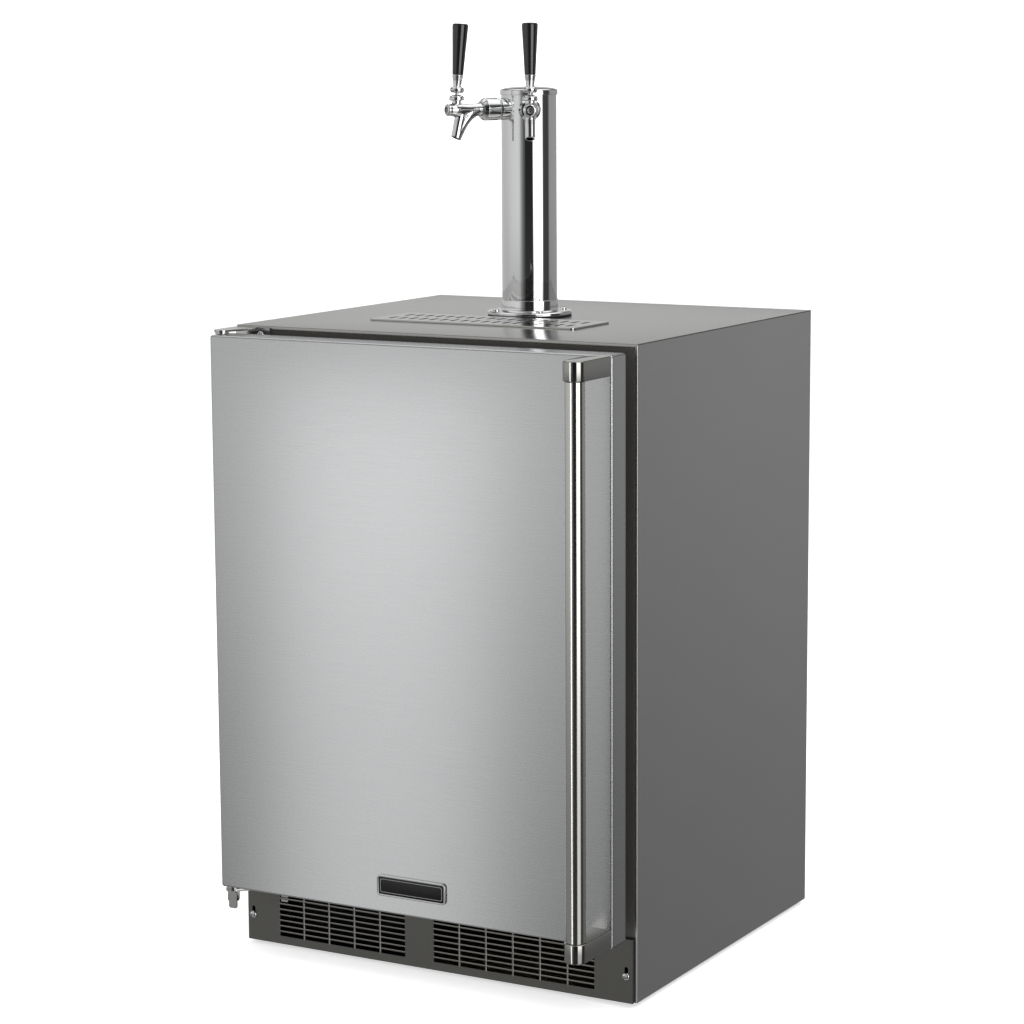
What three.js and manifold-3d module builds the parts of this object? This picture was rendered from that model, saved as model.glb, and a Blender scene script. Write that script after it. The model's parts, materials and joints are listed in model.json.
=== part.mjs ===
// A built-in two-tap kegerator: an insulated steel cabinet on four levelling legs, a hinged
// door with a bar handle, and a chrome beer tower with two faucets on the cabinet's top.
//
// Units are millimetres, +Z is up and -Y is the front. The pieces are drawn with y = 0 on the
// front of the cabinet and z = 0 at the bottom of its sheet metal. The outermost group then
// moves the origin to the middle of the footprint, on the surface that the legs stand on.

import * as THREE from "three";
import { mergeGeometries, mergeVertices } from "three/addons/utils/BufferGeometryUtils.js";
import Module from "manifold-3d";

const wasm = await Module();
wasm.setup();

// ---------------------------------------------------------------- driving dimensions

const WIDTH = 606;
const DEPTH = 538;
const HEIGHT = 856; // the sheet metal, without the legs
const FOOT_HEIGHT = 6; // how far the legs hold the sheet metal off the floor
const SHEET = 1.2;
const GAP = 0.3; // clearance between neighbouring pieces
const HALF = WIDTH / 2;

const SIDE_HEM = 3.5; // front return of a side panel
const REAR_RETURN = 14;
const TOP_RETURN = 5.2; // front return of the top panel
const BACK_INSET = 8.5; // the back panel sits this far in from the rear edges
const KICK_TOP = 86;
const KICK_FRONT = -6;

const CAVITY = { halfWidth: 255, front: 1.8, rear: 490, floor: 125, ceiling: 808, corner: 25 };
const HUMP = { front: 412, top: 250 }; // step in the liner over the compressor
const LINER_WALL = 3;
const FOAM_MIN = 20; // insulation between the liner and the machine compartment

const DOOR = { half: 301.65, front: -66.3, back: -27.5, bottom: 90, top: 847.6, corner: 4 };
const GASKET = { half: 284, inset: 17.6, width: 22 };
const HINGE = { x: -292, y: -51, pin: 4 };

const HANDLE = { x: 284.5, y: -132, radius: 12.7, bracketHalf: 15, bracketHeight: 25 };
const BRACKET_UPPER = 822;
const BRACKET_LOWER = 90.5;

const TOWER = { x: -17, y: 299, radius: 38.1, wall: 1.5, flange: 59, top: 1164 };
const TAP_HEIGHT = 1140; // axis of the two shanks
const TAP_SPREAD = 30; // degrees to each side of straight ahead
const LEVER_REACH = 114; // from the tower's axis to the lever's axis
const BALL_HEIGHT = 16; // lever's pivot above the shank's axis
const LEVER_LEAN = 4; // degrees that a closed lever leans back
const TOWER_HOLE = 30;

const DRIP = { x: -17, half: 159, front: 131, rear: 236, thickness: 2, slots: 18, pitch: 16.2 };
const UPPER_ARM = { width: 33, bottom: 851, top: 854 };
const LOWER_ARM = { width: 68, bottom: 82, top: 86 };
const HINGE_WASHER = 9;
const HINGE_LEG_FRONT = 3.5;
// Profile of the screw's head: radius and distance in front of the cabinet.
const HINGE_SCREW = {
  x: -262,
  z: 844,
  profile: [
    [0, 3],
    [4.8, 3],
    [4.8, HINGE_LEG_FRONT + 0.3],
    [4.4, HINGE_LEG_FRONT + 1.5],
    [2.8, HINGE_LEG_FRONT + 2.6],
    [0, HINGE_LEG_FRONT + 3],
  ],
};
const TRAY = {
  half: DRIP.half - 12,
  front: DRIP.front + 10,
  rear: DRIP.rear - 10,
  depth: 9,
};

const LEG_X = 262;
const LEG_FRONT = 42;
const LEG_REAR = 492;

const VENT = { columnPitch: 150, halfWidth: 50, rows: 7, bottom: 60, pitch: 18, height: 6 };
const POWER_INLET = { x: 225, z: 45, body: 9, flange: 16 };
const PAN_FRONT = 2; // front edge of the base pan
const PAN_HEIGHT = 80;
const KICK_SCREW = { x: 290.5, z: 36.3 };
const LOUVRE = { pitchX: 41, pitchZ: 7.85, rib: 2.6, slot: 5.4, bottom: 11.5, rows: 9 };
const LOUVRE_GROUPS = [
  { start: -247, columns: 5 },
  { start: 0.4, columns: 6 },
];
const CONTROL = { left: 216, front: 60, rear: 170, bottom: 704, top: 778 };
const KNOB = { y: 115, z: 741, radius: 19 };
const COMPRESSOR = { x: -110, y: 480 };
const COIL = { left: -246, right: -46, front: 22, rear: 60, bottom: 6, top: 96, fins: 13 };
const FAN = { x: -146, z: 51, blade: 38 };
const BADGE = { x: 4, z: 128, halfWidth: 52.5, halfHeight: 14.2 };
const FLANGE_BOTTOM = HEIGHT + 2.4;
const FLANGE_TOP = FLANGE_BOTTOM + 4.6;
const COLLAR_TOP = FLANGE_TOP + 15; // collar of the tower's flange
const FLANGE_SCREW_CIRCLE = 48.5;
const LINE_RADIUS = 3.2; // beer line
const SHANK = { inner: 22, thread: 9.5, bore: 3.4, collarFront: 50.2, collar: 15, end: 65.5 };
const NUT = { front: 76.4, radius: 15.3 };
const VALVE = { bore: 4.9, shaft: 4.5, head: 6.5, chamber: 7.4, seat: 78.5 };
const NOSE_FRONT = 130; // front end of a faucet

// ---------------------------------------------------------------- finishes

function finish(color, roughness, metalness) {
  return new THREE.MeshStandardMaterial({ color, roughness, metalness });
}

const brushedSteel = finish(0x9a9ca0, 0.36, 1);
const darkSteel = finish(0x5a5955, 0.45, 0.9);
const satinSteel = finish(0xb9b8b3, 0.3, 1);
const chrome = finish(0xd8dadd, 0.08, 1);
const blackPlastic = finish(0x1b1b1d, 0.45, 0);
const glossBlack = finish(0x0d0d0f, 0.12, 0);
const rubber = finish(0x202022, 0.85, 0);
const foam = finish(0xe6d9a8, 0.9, 0);
const linerWhite = finish(0xe4e6e6, 0.35, 0);
const aluminium = finish(0xb7babd, 0.4, 0.9);
const blackEnamel = finish(0x141416, 0.35, 0.4);

// ---------------------------------------------------------------- solids

// Shared vertices are merged and slivers dropped, and faces are turned to point outwards.
function closed(geometry) {
  const bare = geometry.clone();
  bare.deleteAttribute("normal");
  bare.deleteAttribute("uv");
  const merged = mergeVertices(bare, 1e-4);
  const index = [];
  for (let i = 0; i < merged.index.count; i += 3) {
    const corners = [0, 1, 2].map((k) => merged.index.getX(i + k));
    if (new Set(corners).size === 3) index.push(...corners);
  }
  merged.setIndex(index);
  if (signedVolume(merged) < 0) {
    for (let i = 0; i < index.length; i += 3) {
      [index[i], index[i + 1]] = [index[i + 1], index[i]];
    }
    merged.setIndex(index);
  }
  return merged;
}

function signedVolume(geometry) {
  const place = geometry.attributes.position;
  const [a, b, c] = [new THREE.Vector3(), new THREE.Vector3(), new THREE.Vector3()];
  let volume = 0;
  for (let i = 0; i < geometry.index.count; i += 3) {
    a.fromBufferAttribute(place, geometry.index.getX(i));
    b.fromBufferAttribute(place, geometry.index.getX(i + 1));
    c.fromBufferAttribute(place, geometry.index.getX(i + 2));
    volume += a.dot(b.cross(c)) / 6;
  }
  return volume;
}

function toManifold(geometry) {
  const mesh = closed(geometry);
  return new wasm.Manifold(
    new wasm.Mesh({
      numProp: 3,
      vertProperties: new Float32Array(mesh.attributes.position.array),
      triVerts: new Uint32Array(mesh.index.array),
    })
  );
}

function fromManifold(solid) {
  const mesh = solid.getMesh();
  const geometry = new THREE.BufferGeometry();
  geometry.setAttribute("position", new THREE.BufferAttribute(mesh.vertProperties, 3));
  geometry.setIndex(new THREE.BufferAttribute(mesh.triVerts, 1));
  return geometry;
}

function join(first, ...others) {
  return fromManifold(others.reduce((sum, other) => sum.add(toManifold(other)), toManifold(first)));
}

function cut(first, ...others) {
  return fromManifold(
    others.reduce((rest, other) => rest.subtract(toManifold(other)), toManifold(first))
  );
}

function overlap(first, second) {
  return fromManifold(toManifold(first).intersect(toManifold(second)));
}

// ---------------------------------------------------------------- shapes

function block([x0, x1], [y0, y1], [z0, z1]) {
  const box = new THREE.BoxGeometry(x1 - x0, y1 - y0, z1 - z0);
  return box.translate((x0 + x1) / 2, (y0 + y1) / 2, (z0 + z1) / 2);
}

function polygon(points) {
  return new THREE.Shape(points.map(([x, y]) => new THREE.Vector2(x, y)));
}

function disc(x, y, radius) {
  return new THREE.Shape().absarc(x, y, radius, 0, Math.PI * 2, false);
}

function roundedRect([x0, x1], [y0, y1], radius) {
  const shape = new THREE.Shape();
  shape.absarc(x1 - radius, y0 + radius, radius, -Math.PI / 2, 0, false);
  shape.absarc(x1 - radius, y1 - radius, radius, 0, Math.PI / 2, false);
  shape.absarc(x0 + radius, y1 - radius, radius, Math.PI / 2, Math.PI, false);
  shape.absarc(x0 + radius, y0 + radius, radius, Math.PI, Math.PI * 1.5, false);
  return shape;
}

function withHoles(shape, holes) {
  shape.holes.push(...holes);
  return shape;
}

// A shape drawn in X and Y, standing from z0 to z1.
function prismZ(shape, [z0, z1], curveSegments = 4) {
  const solid = new THREE.ExtrudeGeometry(shape, { depth: z1 - z0, bevelEnabled: false, curveSegments });
  return solid.translate(0, 0, z0);
}

// A shape drawn in X and Z, standing from y0 to y1.
function prismY(shape, [y0, y1], curveSegments = 4) {
  const solid = prismZ(shape, [0, y1 - y0], curveSegments);
  return solid.rotateX(Math.PI / 2).translate(0, y1, 0);
}

// A shape drawn in Y and Z, standing from x0 to x1.
function prismX(shape, [x0, x1], curveSegments = 4) {
  const solid = prismZ(shape, [0, x1 - x0], curveSegments);
  solid.rotateX(Math.PI / 2);
  return solid.rotateZ(Math.PI / 2).translate(x0, 0, 0);
}

// A profile of [radius, height] points turned about the Z axis.
function turned(profile, segments = 16) {
  const points = profile.map(([radius, height]) => new THREE.Vector2(radius, height));
  return new THREE.LatheGeometry(points, segments).rotateX(Math.PI / 2);
}

function rod(radius, [z0, z1], segments = 16) {
  return turned([[0, z0], [radius, z0], [radius, z1], [0, z1]], segments);
}

// The same, lying along the -Y direction: heights become distances in front of the axis.
function turnedForward(profile, segments = 16) {
  return turned(profile, segments).rotateX(Math.PI / 2);
}

function arcPoints([cx, cy], radius, fromDegrees, toDegrees, steps) {
  return Array.from({ length: steps + 1 }, (_, i) => {
    const angle = THREE.MathUtils.degToRad(fromDegrees + ((toDegrees - fromDegrees) * i) / steps);
    return [cx + radius * Math.cos(angle), cy + radius * Math.sin(angle)];
  });
}

function add(group, name, geometry, material) {
  const mesh = new THREE.Mesh(closed(geometry), material);
  mesh.name = name;
  group.add(mesh);
  return mesh;
}

// ---------------------------------------------------------------- cabinet shell

// Front return of the top panel: its ends are mitred against the side panels' front returns.
function topReturn(grow) {
  const top = HEIGHT - SHEET;
  const bottom = HEIGHT - TOP_RETURN - grow;
  const mitre = top - bottom;
  const reach = HALF - GAP + grow;
  const outline = polygon([
    [-reach, top],
    [-reach + mitre, bottom],
    [reach - mitre, bottom],
    [reach, top],
  ]);
  return prismY(outline, [-grow, SHEET + grow]);
}

function sidePanel(side) {
  const outline = [
    [HALF, 0],
    [HALF, DEPTH],
    [HALF - REAR_RETURN, DEPTH],
    [HALF - REAR_RETURN, DEPTH - SHEET],
    [HALF - SHEET, DEPTH - SHEET],
    [HALF - SHEET, SHEET],
    [HALF - SIDE_HEM, SHEET],
    [HALF - SIDE_HEM, 0],
  ];
  const sheet = prismZ(polygon(outline.map(([x, y]) => [side * x, y])), [0, HEIGHT - SHEET - GAP]);
  return cut(sheet, topReturn(GAP));
}

// The top sheet has a cut-out for the drip tray and a hole for the beer lines.
function topPanel() {
  const sheet = block([-HALF, HALF], [0, DEPTH], [HEIGHT - SHEET, HEIGHT]);
  const cutOut = block(
    [DRIP.x - TRAY.half, DRIP.x + TRAY.half],
    [TRAY.front, TRAY.rear],
    [HEIGHT - 5, HEIGHT + 5]
  );
  const hole = rod(TOWER_HOLE, [HEIGHT - 5, HEIGHT + 5], 32).translate(TOWER.x, TOWER.y, 0);
  return cut(join(sheet, topReturn(0)), cutOut, hole);
}

// Shallow tray under the drip grille, welded round its rim into the cut-out of the top sheet.
function dripTray() {
  const reach = TRAY.half - GAP;
  const y = [TRAY.front + GAP, TRAY.rear - GAP];
  const outer = block([DRIP.x - reach, DRIP.x + reach], y, [HEIGHT - TRAY.depth, HEIGHT]);
  const hollow = block(
    [DRIP.x - reach + SHEET, DRIP.x + reach - SHEET],
    [y[0] + SHEET, y[1] - SHEET],
    [HEIGHT - TRAY.depth + SHEET, HEIGHT + 1]
  );
  return cut(outer, hollow);
}

function backPanel() {
  const back = DEPTH - BACK_INSET;
  const edge = HALF - SHEET - GAP;
  const outline = [
    [-edge, back],
    [edge, back],
    [edge, DEPTH - SHEET - GAP],
    [edge - SHEET, DEPTH - SHEET - GAP],
    [edge - SHEET, back + SHEET],
    [-edge + SHEET, back + SHEET],
    [-edge + SHEET, DEPTH - SHEET - GAP],
    [-edge, DEPTH - SHEET - GAP],
  ];
  const sheet = prismZ(polygon(outline), [1, HEIGHT - SHEET - GAP]);
  const vents = [];
  for (const column of [-1, 0, 1]) {
    for (let row = 0; row < VENT.rows; row += 1) {
      const x = column * VENT.columnPitch;
      const z = VENT.bottom + row * VENT.pitch;
      const reach = [x - VENT.halfWidth, x + VENT.halfWidth];
      vents.push(block(reach, [back - 5, DEPTH + 1], [z, z + VENT.height]));
    }
  }
  const inlet = prismY(disc(POWER_INLET.x, POWER_INLET.z, POWER_INLET.body + 1), [back - 5, DEPTH]);
  return cut(sheet, mergeGeometries(vents), inlet);
}

// The gland that the supply lead leaves through.
function powerInlet() {
  const back = DEPTH - BACK_INSET + SHEET;
  const profile = [
    [4.5, -12],
    [POWER_INLET.body, -12],
    [POWER_INLET.body, GAP],
    [POWER_INLET.flange, GAP],
    [POWER_INLET.flange, 3],
    [9, 6.5],
    [4.5, 6.5],
    [4.5, -12],
  ];
  return turned(profile, 16).rotateX(-Math.PI / 2).translate(POWER_INLET.x, back, POWER_INLET.z);
}

// Folded tray that carries the machinery and the legs; its front wall is a frame for airflow.
function basePan() {
  const half = HALF - SHEET - GAP;
  const wall = 1.5;
  const rear = DEPTH - BACK_INSET - GAP;
  const outer = block([-half, half], [PAN_FRONT, rear], [1, PAN_HEIGHT]);
  const floor = 1 + wall;
  const inner = block([-half + wall, half - wall], [PAN_FRONT + wall, rear - wall], [floor, PAN_HEIGHT + 1]);
  const windowFront = block([-276, 276], [PAN_FRONT - 1, PAN_FRONT + wall + 1], [8, PAN_HEIGHT + 1]);
  const windowRear = block([-276, 276], [rear - wall - 1, rear + 1], [14, PAN_HEIGHT + 1]);
  const holes = legPlaces().map(([x, y]) => rod(5.4, [-1, 5]).translate(x, y, 0));
  const screwHoles = [-1, 1].map((side) => {
    const drill = turnedForward([[0, -5], [2.3, -5], [2.3, 5], [0, 5]], 16);
    return drill.translate(side * KICK_SCREW.x, PAN_FRONT, KICK_SCREW.z);
  });
  return cut(outer, inner, windowFront, windowRear, ...holes, ...screwHoles);
}

function legPlaces() {
  return [
    [-LEG_X, LEG_FRONT],
    [LEG_X, LEG_FRONT],
    [-LEG_X, LEG_REAR],
    [LEG_X, LEG_REAR],
  ];
}

function levelingLeg() {
  const pad = 17;
  const stud = 5;
  return turned(
    [
      [0, -FOOT_HEIGHT],
      [pad - 1, -FOOT_HEIGHT],
      [pad, -FOOT_HEIGHT + 1],
      [pad, -FOOT_HEIGHT + 4],
      [pad - 2, -0.6],
      [stud, -0.6],
      [stud, 38],
      [stud - 1, 39],
      [0, 39],
    ],
    16
  );
}

// Black ring behind the door, which the gasket closes on.
function faceFrame() {
  const outerX = HALF - SIDE_HEM - GAP;
  const outerZ = [KICK_TOP + 0.5, HEIGHT - TOP_RETURN - GAP];
  const ring = withHoles(roundedRect([-outerX, outerX], outerZ, 2), [cavityOutline(0)]);
  return prismY(ring, [0, 1.5], 4);
}

function cavityOutline(grow) {
  const reach = CAVITY.halfWidth + grow;
  return roundedRect([-reach, reach], [CAVITY.floor - grow, CAVITY.ceiling + grow], CAVITY.corner + grow);
}

// The keg space, grown by a wall's thickness: a box with round corners and a step at the rear.
function cavitySolid(grow, front) {
  const side = polygon([
    [front, CAVITY.floor - grow],
    [HUMP.front + grow, CAVITY.floor - grow],
    [HUMP.front + grow, HUMP.top - grow],
    [CAVITY.rear + grow, HUMP.top - grow],
    [CAVITY.rear + grow, CAVITY.ceiling + grow],
    [front, CAVITY.ceiling + grow],
  ]);
  const reach = CAVITY.halfWidth + grow + 1;
  return overlap(
    prismX(side, [-reach, reach]),
    prismY(cavityOutline(grow), [front, CAVITY.rear + grow + 1], 4)
  );
}

function liner() {
  const shell = cut(cavitySolid(LINER_WALL, CAVITY.front), cavitySolid(0, CAVITY.front - 1));
  const hole = rod(TOWER_HOLE, [CAVITY.ceiling - 5, CAVITY.ceiling + 10], 32);
  return cut(shell, hole.translate(TOWER.x, TOWER.y, 0));
}

function cabinetInsulation() {
  const skin = LINER_WALL + GAP;
  const under = CAVITY.floor - skin - FOAM_MIN;
  const rear = DEPTH - BACK_INSET - GAP;
  const side = polygon([
    [CAVITY.front, under],
    [HUMP.front + skin + FOAM_MIN, under],
    [HUMP.front + skin + FOAM_MIN, HUMP.top - skin - FOAM_MIN],
    [rear, HUMP.top - skin - FOAM_MIN],
    [rear, HEIGHT - SHEET - GAP],
    [CAVITY.front, HEIGHT - SHEET - GAP],
  ]);
  const reach = HALF - SHEET - GAP;
  const bulk = prismX(side, [-reach, reach]);
  const panRoom = block(
    [DRIP.x - DRIP.half, DRIP.x + DRIP.half],
    [DRIP.front, DRIP.rear],
    [HEIGHT - 10, HEIGHT]
  );
  const hole = rod(TOWER_HOLE, [CAVITY.ceiling - 5, HEIGHT + 5], 32).translate(TOWER.x, TOWER.y, 0);
  return cut(bulk, cavitySolid(skin, CAVITY.front - 1), panRoom, hole);
}

// ---------------------------------------------------------------- front grille

function louvreSlots() {
  const slots = [];
  for (const group of LOUVRE_GROUPS) {
    for (let column = 0; column < group.columns; column += 1) {
      for (let row = 0; row < LOUVRE.rows; row += 1) {
        const x = group.start + column * LOUVRE.pitchX;
        const z = LOUVRE.bottom + row * LOUVRE.pitchZ;
        const width = LOUVRE.pitchX - LOUVRE.rib;
        const through = [KICK_FRONT - 1, KICK_FRONT + SHEET + 1];
        slots.push(block([x, x + width], through, [z, z + LOUVRE.slot]));
      }
    }
  }
  return mergeGeometries(slots);
}

function kickplate() {
  const half = HALF - SIDE_HEM + 0.2;
  const back = KICK_FRONT + SHEET;
  const notch = { x: -231, z: 81.6 }; // leaves room for the lower hinge plate
  const outline = polygon([
    [-half, 0],
    [half, 0],
    [half, KICK_TOP],
    [notch.x, KICK_TOP],
    [notch.x, notch.z],
    [-half, notch.z],
  ]);
  const keyholes = [-1, 1].map((side) => {
    const x = side * KICK_SCREW.x;
    const slot = roundedRect([x - 2.6, x + 2.6], [KICK_SCREW.z - 2.6, KICK_SCREW.z + 12], 2.5);
    return prismY(slot, [KICK_FRONT - 1, back + 1], 3);
  });
  const plate = cut(prismY(outline, [KICK_FRONT, back]), louvreSlots(), ...keyholes);
  const flangeBack = -GAP;
  const topFlange = block([notch.x, half], [KICK_FRONT, flangeBack], [KICK_TOP - SHEET, KICK_TOP]);
  const bottomFlange = block([-half, half], [KICK_FRONT, flangeBack], [0, SHEET]);
  const leftEnd = block([-half, -half + SHEET], [KICK_FRONT, flangeBack], [0, notch.z]);
  const rightEnd = block([half - SHEET, half], [KICK_FRONT, flangeBack], [0, KICK_TOP]);
  return join(plate, topFlange, bottomFlange, leftEnd, rightEnd);
}

function kickplateScrew(side) {
  const front = -KICK_FRONT + GAP;
  const profile = [
    [0, -PAN_FRONT - 6],
    [2, -PAN_FRONT - 6],
    [2, front],
    [5, front],
    [4.6, front + 1.4],
    [3, front + 2.6],
    [0, front + 3.1],
  ];
  return turnedForward(profile, 12).translate(side * KICK_SCREW.x, 0, KICK_SCREW.z);
}

// ---------------------------------------------------------------- inside the cabinet

function kegFloorPlate() {
  const z = CAVITY.floor + GAP;
  return prismZ(roundedRect([-232, 232], [20, 398], 12), [z, z + 2], 3);
}

// A roll-bonded plate with its refrigerant channel standing proud of it.
function evaporatorPlate() {
  const front = CAVITY.rear - 8;
  const plate = block([-185, 185], [front, front + 1.6], [430, 770]);
  const standOffs = [];
  for (const x of [-165, 165]) {
    for (const z of [450, 750]) {
      standOffs.push(block([x - 6, x + 6], [front + 1, CAVITY.rear - GAP], [z - 6, z + 6]));
    }
  }
  const channel = [];
  const rows = 8;
  const reach = 160;
  for (let row = 0; row < rows; row += 1) {
    const z = 460 + row * 40;
    channel.push(block([-reach, reach], [front - 3, front + 1], [z - 4, z + 4]));
    if (row < rows - 1) {
      const x = row % 2 === 0 ? reach - 8 : -reach;
      channel.push(block([x, x + 8], [front - 3, front + 1], [z - 4, z + 44]));
    }
  }
  return join(plate, ...standOffs, ...channel);
}

function controlHousing() {
  const wall = CAVITY.halfWidth - GAP;
  const outline = roundedRect([CONTROL.front, CONTROL.rear], [CONTROL.bottom, CONTROL.top], 8);
  const box = prismX(outline, [CONTROL.left, wall], 3);
  const bore = rod(3.4, [-14, 1]).rotateY(-Math.PI / 2);
  return cut(box, bore.translate(CONTROL.left, KNOB.y, KNOB.z));
}

// Knob and its spindle, turning about X on the housing's inner face.
function thermostatKnob() {
  const body = turned(
    [
      [0, -12],
      [3, -12],
      [3, 1],
      [KNOB.radius, 1],
      [KNOB.radius, 8],
      [KNOB.radius - 1.5, 14],
      [KNOB.radius - 4, 15.5],
      [0, 15.5],
    ],
    16
  );
  const bar = block([-3, 3], [-KNOB.radius + 4.5, KNOB.radius - 4.5], [15, 21]);
  return join(body, bar).rotateY(-Math.PI / 2).translate(CONTROL.left, KNOB.y, KNOB.z);
}

// ---------------------------------------------------------------- machine compartment

function compressor() {
  const floor = 1 + 1.5 + GAP;
  const can = turned(
    [
      [0, floor + 12],
      [34, floor + 12],
      [44, floor + 20],
      [46, floor + 60],
      [47.5, floor + 62],
      [47.5, floor + 66],
      [46, floor + 68],
      [45, floor + 118],
      [38, floor + 138],
      [22, floor + 147],
      [0, floor + 150],
    ],
    16
  ).scale(1.7, 0.97, 1);
  const plate = block([-102, 102], [-42, 42], [floor + 8, floor + 13]);
  const feet = [];
  for (const x of [-92, 92]) {
    for (const y of [-32, 32]) feet.push(rod(8, [floor, floor + 9], 16).translate(x, y, 0));
  }
  const terminalBox = block([60, 96], [-22, 22], [floor + 60, floor + 108]);
  return join(can, plate, terminalBox, ...feet).translate(COMPRESSOR.x, COMPRESSOR.y, 0);
}

// Finned block in plan: a spine with a fin on each side of it at every pitch. The outline
// runs along the fins' front ends and comes back along their rear ends.
function condenserCoil() {
  const pitch = (COIL.right - COIL.left) / COIL.fins;
  const finWidth = pitch * 0.4;
  const spineInset = 12;
  const front = [];
  const rear = [];
  for (let fin = 0; fin < COIL.fins; fin += 1) {
    const x = COIL.left + fin * pitch;
    const next = x + pitch;
    const finEnd = x + finWidth;
    const notLast = fin < COIL.fins - 1;
    front.push([x, COIL.front], [finEnd, COIL.front]);
    rear.push([x, COIL.rear], [finEnd, COIL.rear]);
    if (notLast) {
      front.push([finEnd, COIL.front + spineInset], [next, COIL.front + spineInset]);
      rear.push([finEnd, COIL.rear - spineInset], [next, COIL.rear - spineInset]);
    }
  }
  return prismZ(polygon([...front, ...rear.reverse()]), [COIL.bottom, COIL.top]);
}

function condenserFanMotor() {
  const can = turned(
    [
      [0, 4.6],
      [2.9, 4.6],
      [2.9, 17],
      [24, 17],
      [26, 18],
      [26, 50],
      [22, 54],
      [0, 54],
    ],
    14
  );
  const floor = 1 + 1.5 + GAP;
  const legs = block([-14, 14], [20, 50], [floor - FAN.z, -10]);
  const foot = block([-30, 30], [18, 52], [floor - FAN.z, floor - FAN.z + 3]);
  return join(can.rotateX(-Math.PI / 2), legs, foot).translate(FAN.x, COIL.rear + 8, FAN.z);
}

function condenserFanBlade() {
  const hub = turned(
    [
      [0, 2],
      [10, 2],
      [13, 4],
      [13, 15],
      [3.3, 15],
      [3.3, 4],
      [0, 4],
    ],
    16
  ).rotateX(-Math.PI / 2);
  const blades = [];
  const count = 5;
  for (let i = 0; i < count; i += 1) {
    const blade = block([-9, 9], [-0.8, 0.8], [11, FAN.blade]);
    blade.rotateZ(THREE.MathUtils.degToRad(28));
    blade.translate(0, 9, 0).rotateY((i * Math.PI * 2) / count);
    blades.push(blade);
  }
  return join(hub, ...blades);
}

// ---------------------------------------------------------------- door

function doorOutline(inset) {
  const half = DOOR.half - inset;
  const radius = Math.max(DOOR.corner - inset, 1);
  return roundedRect([-half, half], [DOOR.bottom + inset, DOOR.top - inset], radius);
}

// A socket for each hinge pin, open at the top and the bottom of the door.
function hingeSockets(radius) {
  const reach = 16;
  const upper = rod(radius, [DOOR.top - reach, DOOR.top + 1], 16).translate(HINGE.x, HINGE.y, 0);
  const lower = rod(radius, [DOOR.bottom - 1, DOOR.bottom + reach], 16).translate(HINGE.x, HINGE.y, 0);
  return [upper, lower];
}

function doorSkin() {
  const shell = prismY(doorOutline(0), [DOOR.front, DOOR.back - 3], 2);
  const hollow = prismY(doorOutline(SHEET), [DOOR.front + SHEET, DOOR.back], 2);
  return cut(shell, hollow, ...hingeSockets(HINGE.pin + 1));
}

function doorCore() {
  const inset = SHEET + GAP;
  const bulk = prismY(doorOutline(inset), [DOOR.front + inset, DOOR.back - 3 - GAP], 1);
  return cut(bulk, ...hingeSockets(HINGE.pin + 1));
}

// Moulded inner face of the door, with a raised pan that reaches into the cabinet.
function doorLiner() {
  const plate = prismY(doorOutline(0.4), [DOOR.back - 3 + GAP - 0.1, DOOR.back], 2);
  const panHalf = GASKET.half - GASKET.width - 14;
  const panZ = [CAVITY.floor + 20, CAVITY.ceiling - 20];
  const outer = prismY(roundedRect([-panHalf, panHalf], panZ, 20), [DOOR.back - 1, -4], 2);
  const dish = prismY(
    roundedRect([-panHalf + 16, panHalf - 16], [panZ[0] + 16, panZ[1] - 16], 12),
    [DOOR.back + 3, 0],
    2
  );
  return cut(join(plate, outer), dish);
}

function doorGasket() {
  const half = GASKET.half;
  const low = DOOR.bottom + GASKET.inset;
  const high = DOOR.top - GASKET.inset;
  const inner = GASKET.width;
  const ring = withHoles(roundedRect([-half, half], [low, high], 9), [
    roundedRect([-half + inner, half - inner], [low + inner, high - inner], 6),
  ]);
  const lip = withHoles(roundedRect([-half, half], [low, high], 9), [
    roundedRect([-half + 5, half - 5], [low + 5, high - 5], 6),
  ]);
  const foot = prismY(ring, [DOOR.back + GAP, DOOR.back + 8], 1);
  const crown = prismY(ring, [-9, -0.4], 1);
  const web = prismY(lip, [DOOR.back + 5, -5], 1);
  return join(foot, web, crown);
}

function handleBar() {
  const z = [BRACKET_LOWER + HANDLE.bracketHeight + GAP, BRACKET_UPPER - GAP];
  return rod(HANDLE.radius, z, 32).translate(HANDLE.x, HANDLE.y, 0);
}

function handleBracket(bottom) {
  const half = HANDLE.bracketHalf;
  const root = DOOR.front - GAP;
  const nose = arcPoints([HANDLE.x, HANDLE.y], half, 180, 360, 14);
  const outline = polygon([...nose, [HANDLE.x + half, root], [HANDLE.x - half, root]]);
  return prismZ(outline, [bottom, bottom + HANDLE.bracketHeight]);
}

// A plain nameplate with nothing on it: a raised rim round a sunk face.
function badgePlate() {
  const back = DOOR.front - GAP;
  const x = [BADGE.x - BADGE.halfWidth, BADGE.x + BADGE.halfWidth];
  const z = [BADGE.z - BADGE.halfHeight, BADGE.z + BADGE.halfHeight];
  const rim = 2.4;
  const plate = prismY(roundedRect(x, z, 5), [back - 3, back], 4);
  const sunk = prismY(
    roundedRect([x[0] + rim, x[1] - rim], [z[0] + rim, z[1] - rim], 3),
    [back - 4, back - 2],
    4
  );
  return cut(plate, sunk);
}

// ---------------------------------------------------------------- hinge plates

// Plan of a hinge arm: it leaves the cabinet with its full width and ends round the pin.
function hingeArmOutline(width) {
  const left = -HALF + 0.5;
  const nose = 10.5;
  return polygon([
    [left, -0.5],
    [left, HINGE.y],
    ...arcPoints([HINGE.x, HINGE.y], nose, 180, 330, 10),
    [left + width, -5],
    [left + width, -0.5],
  ]);
}

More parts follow.
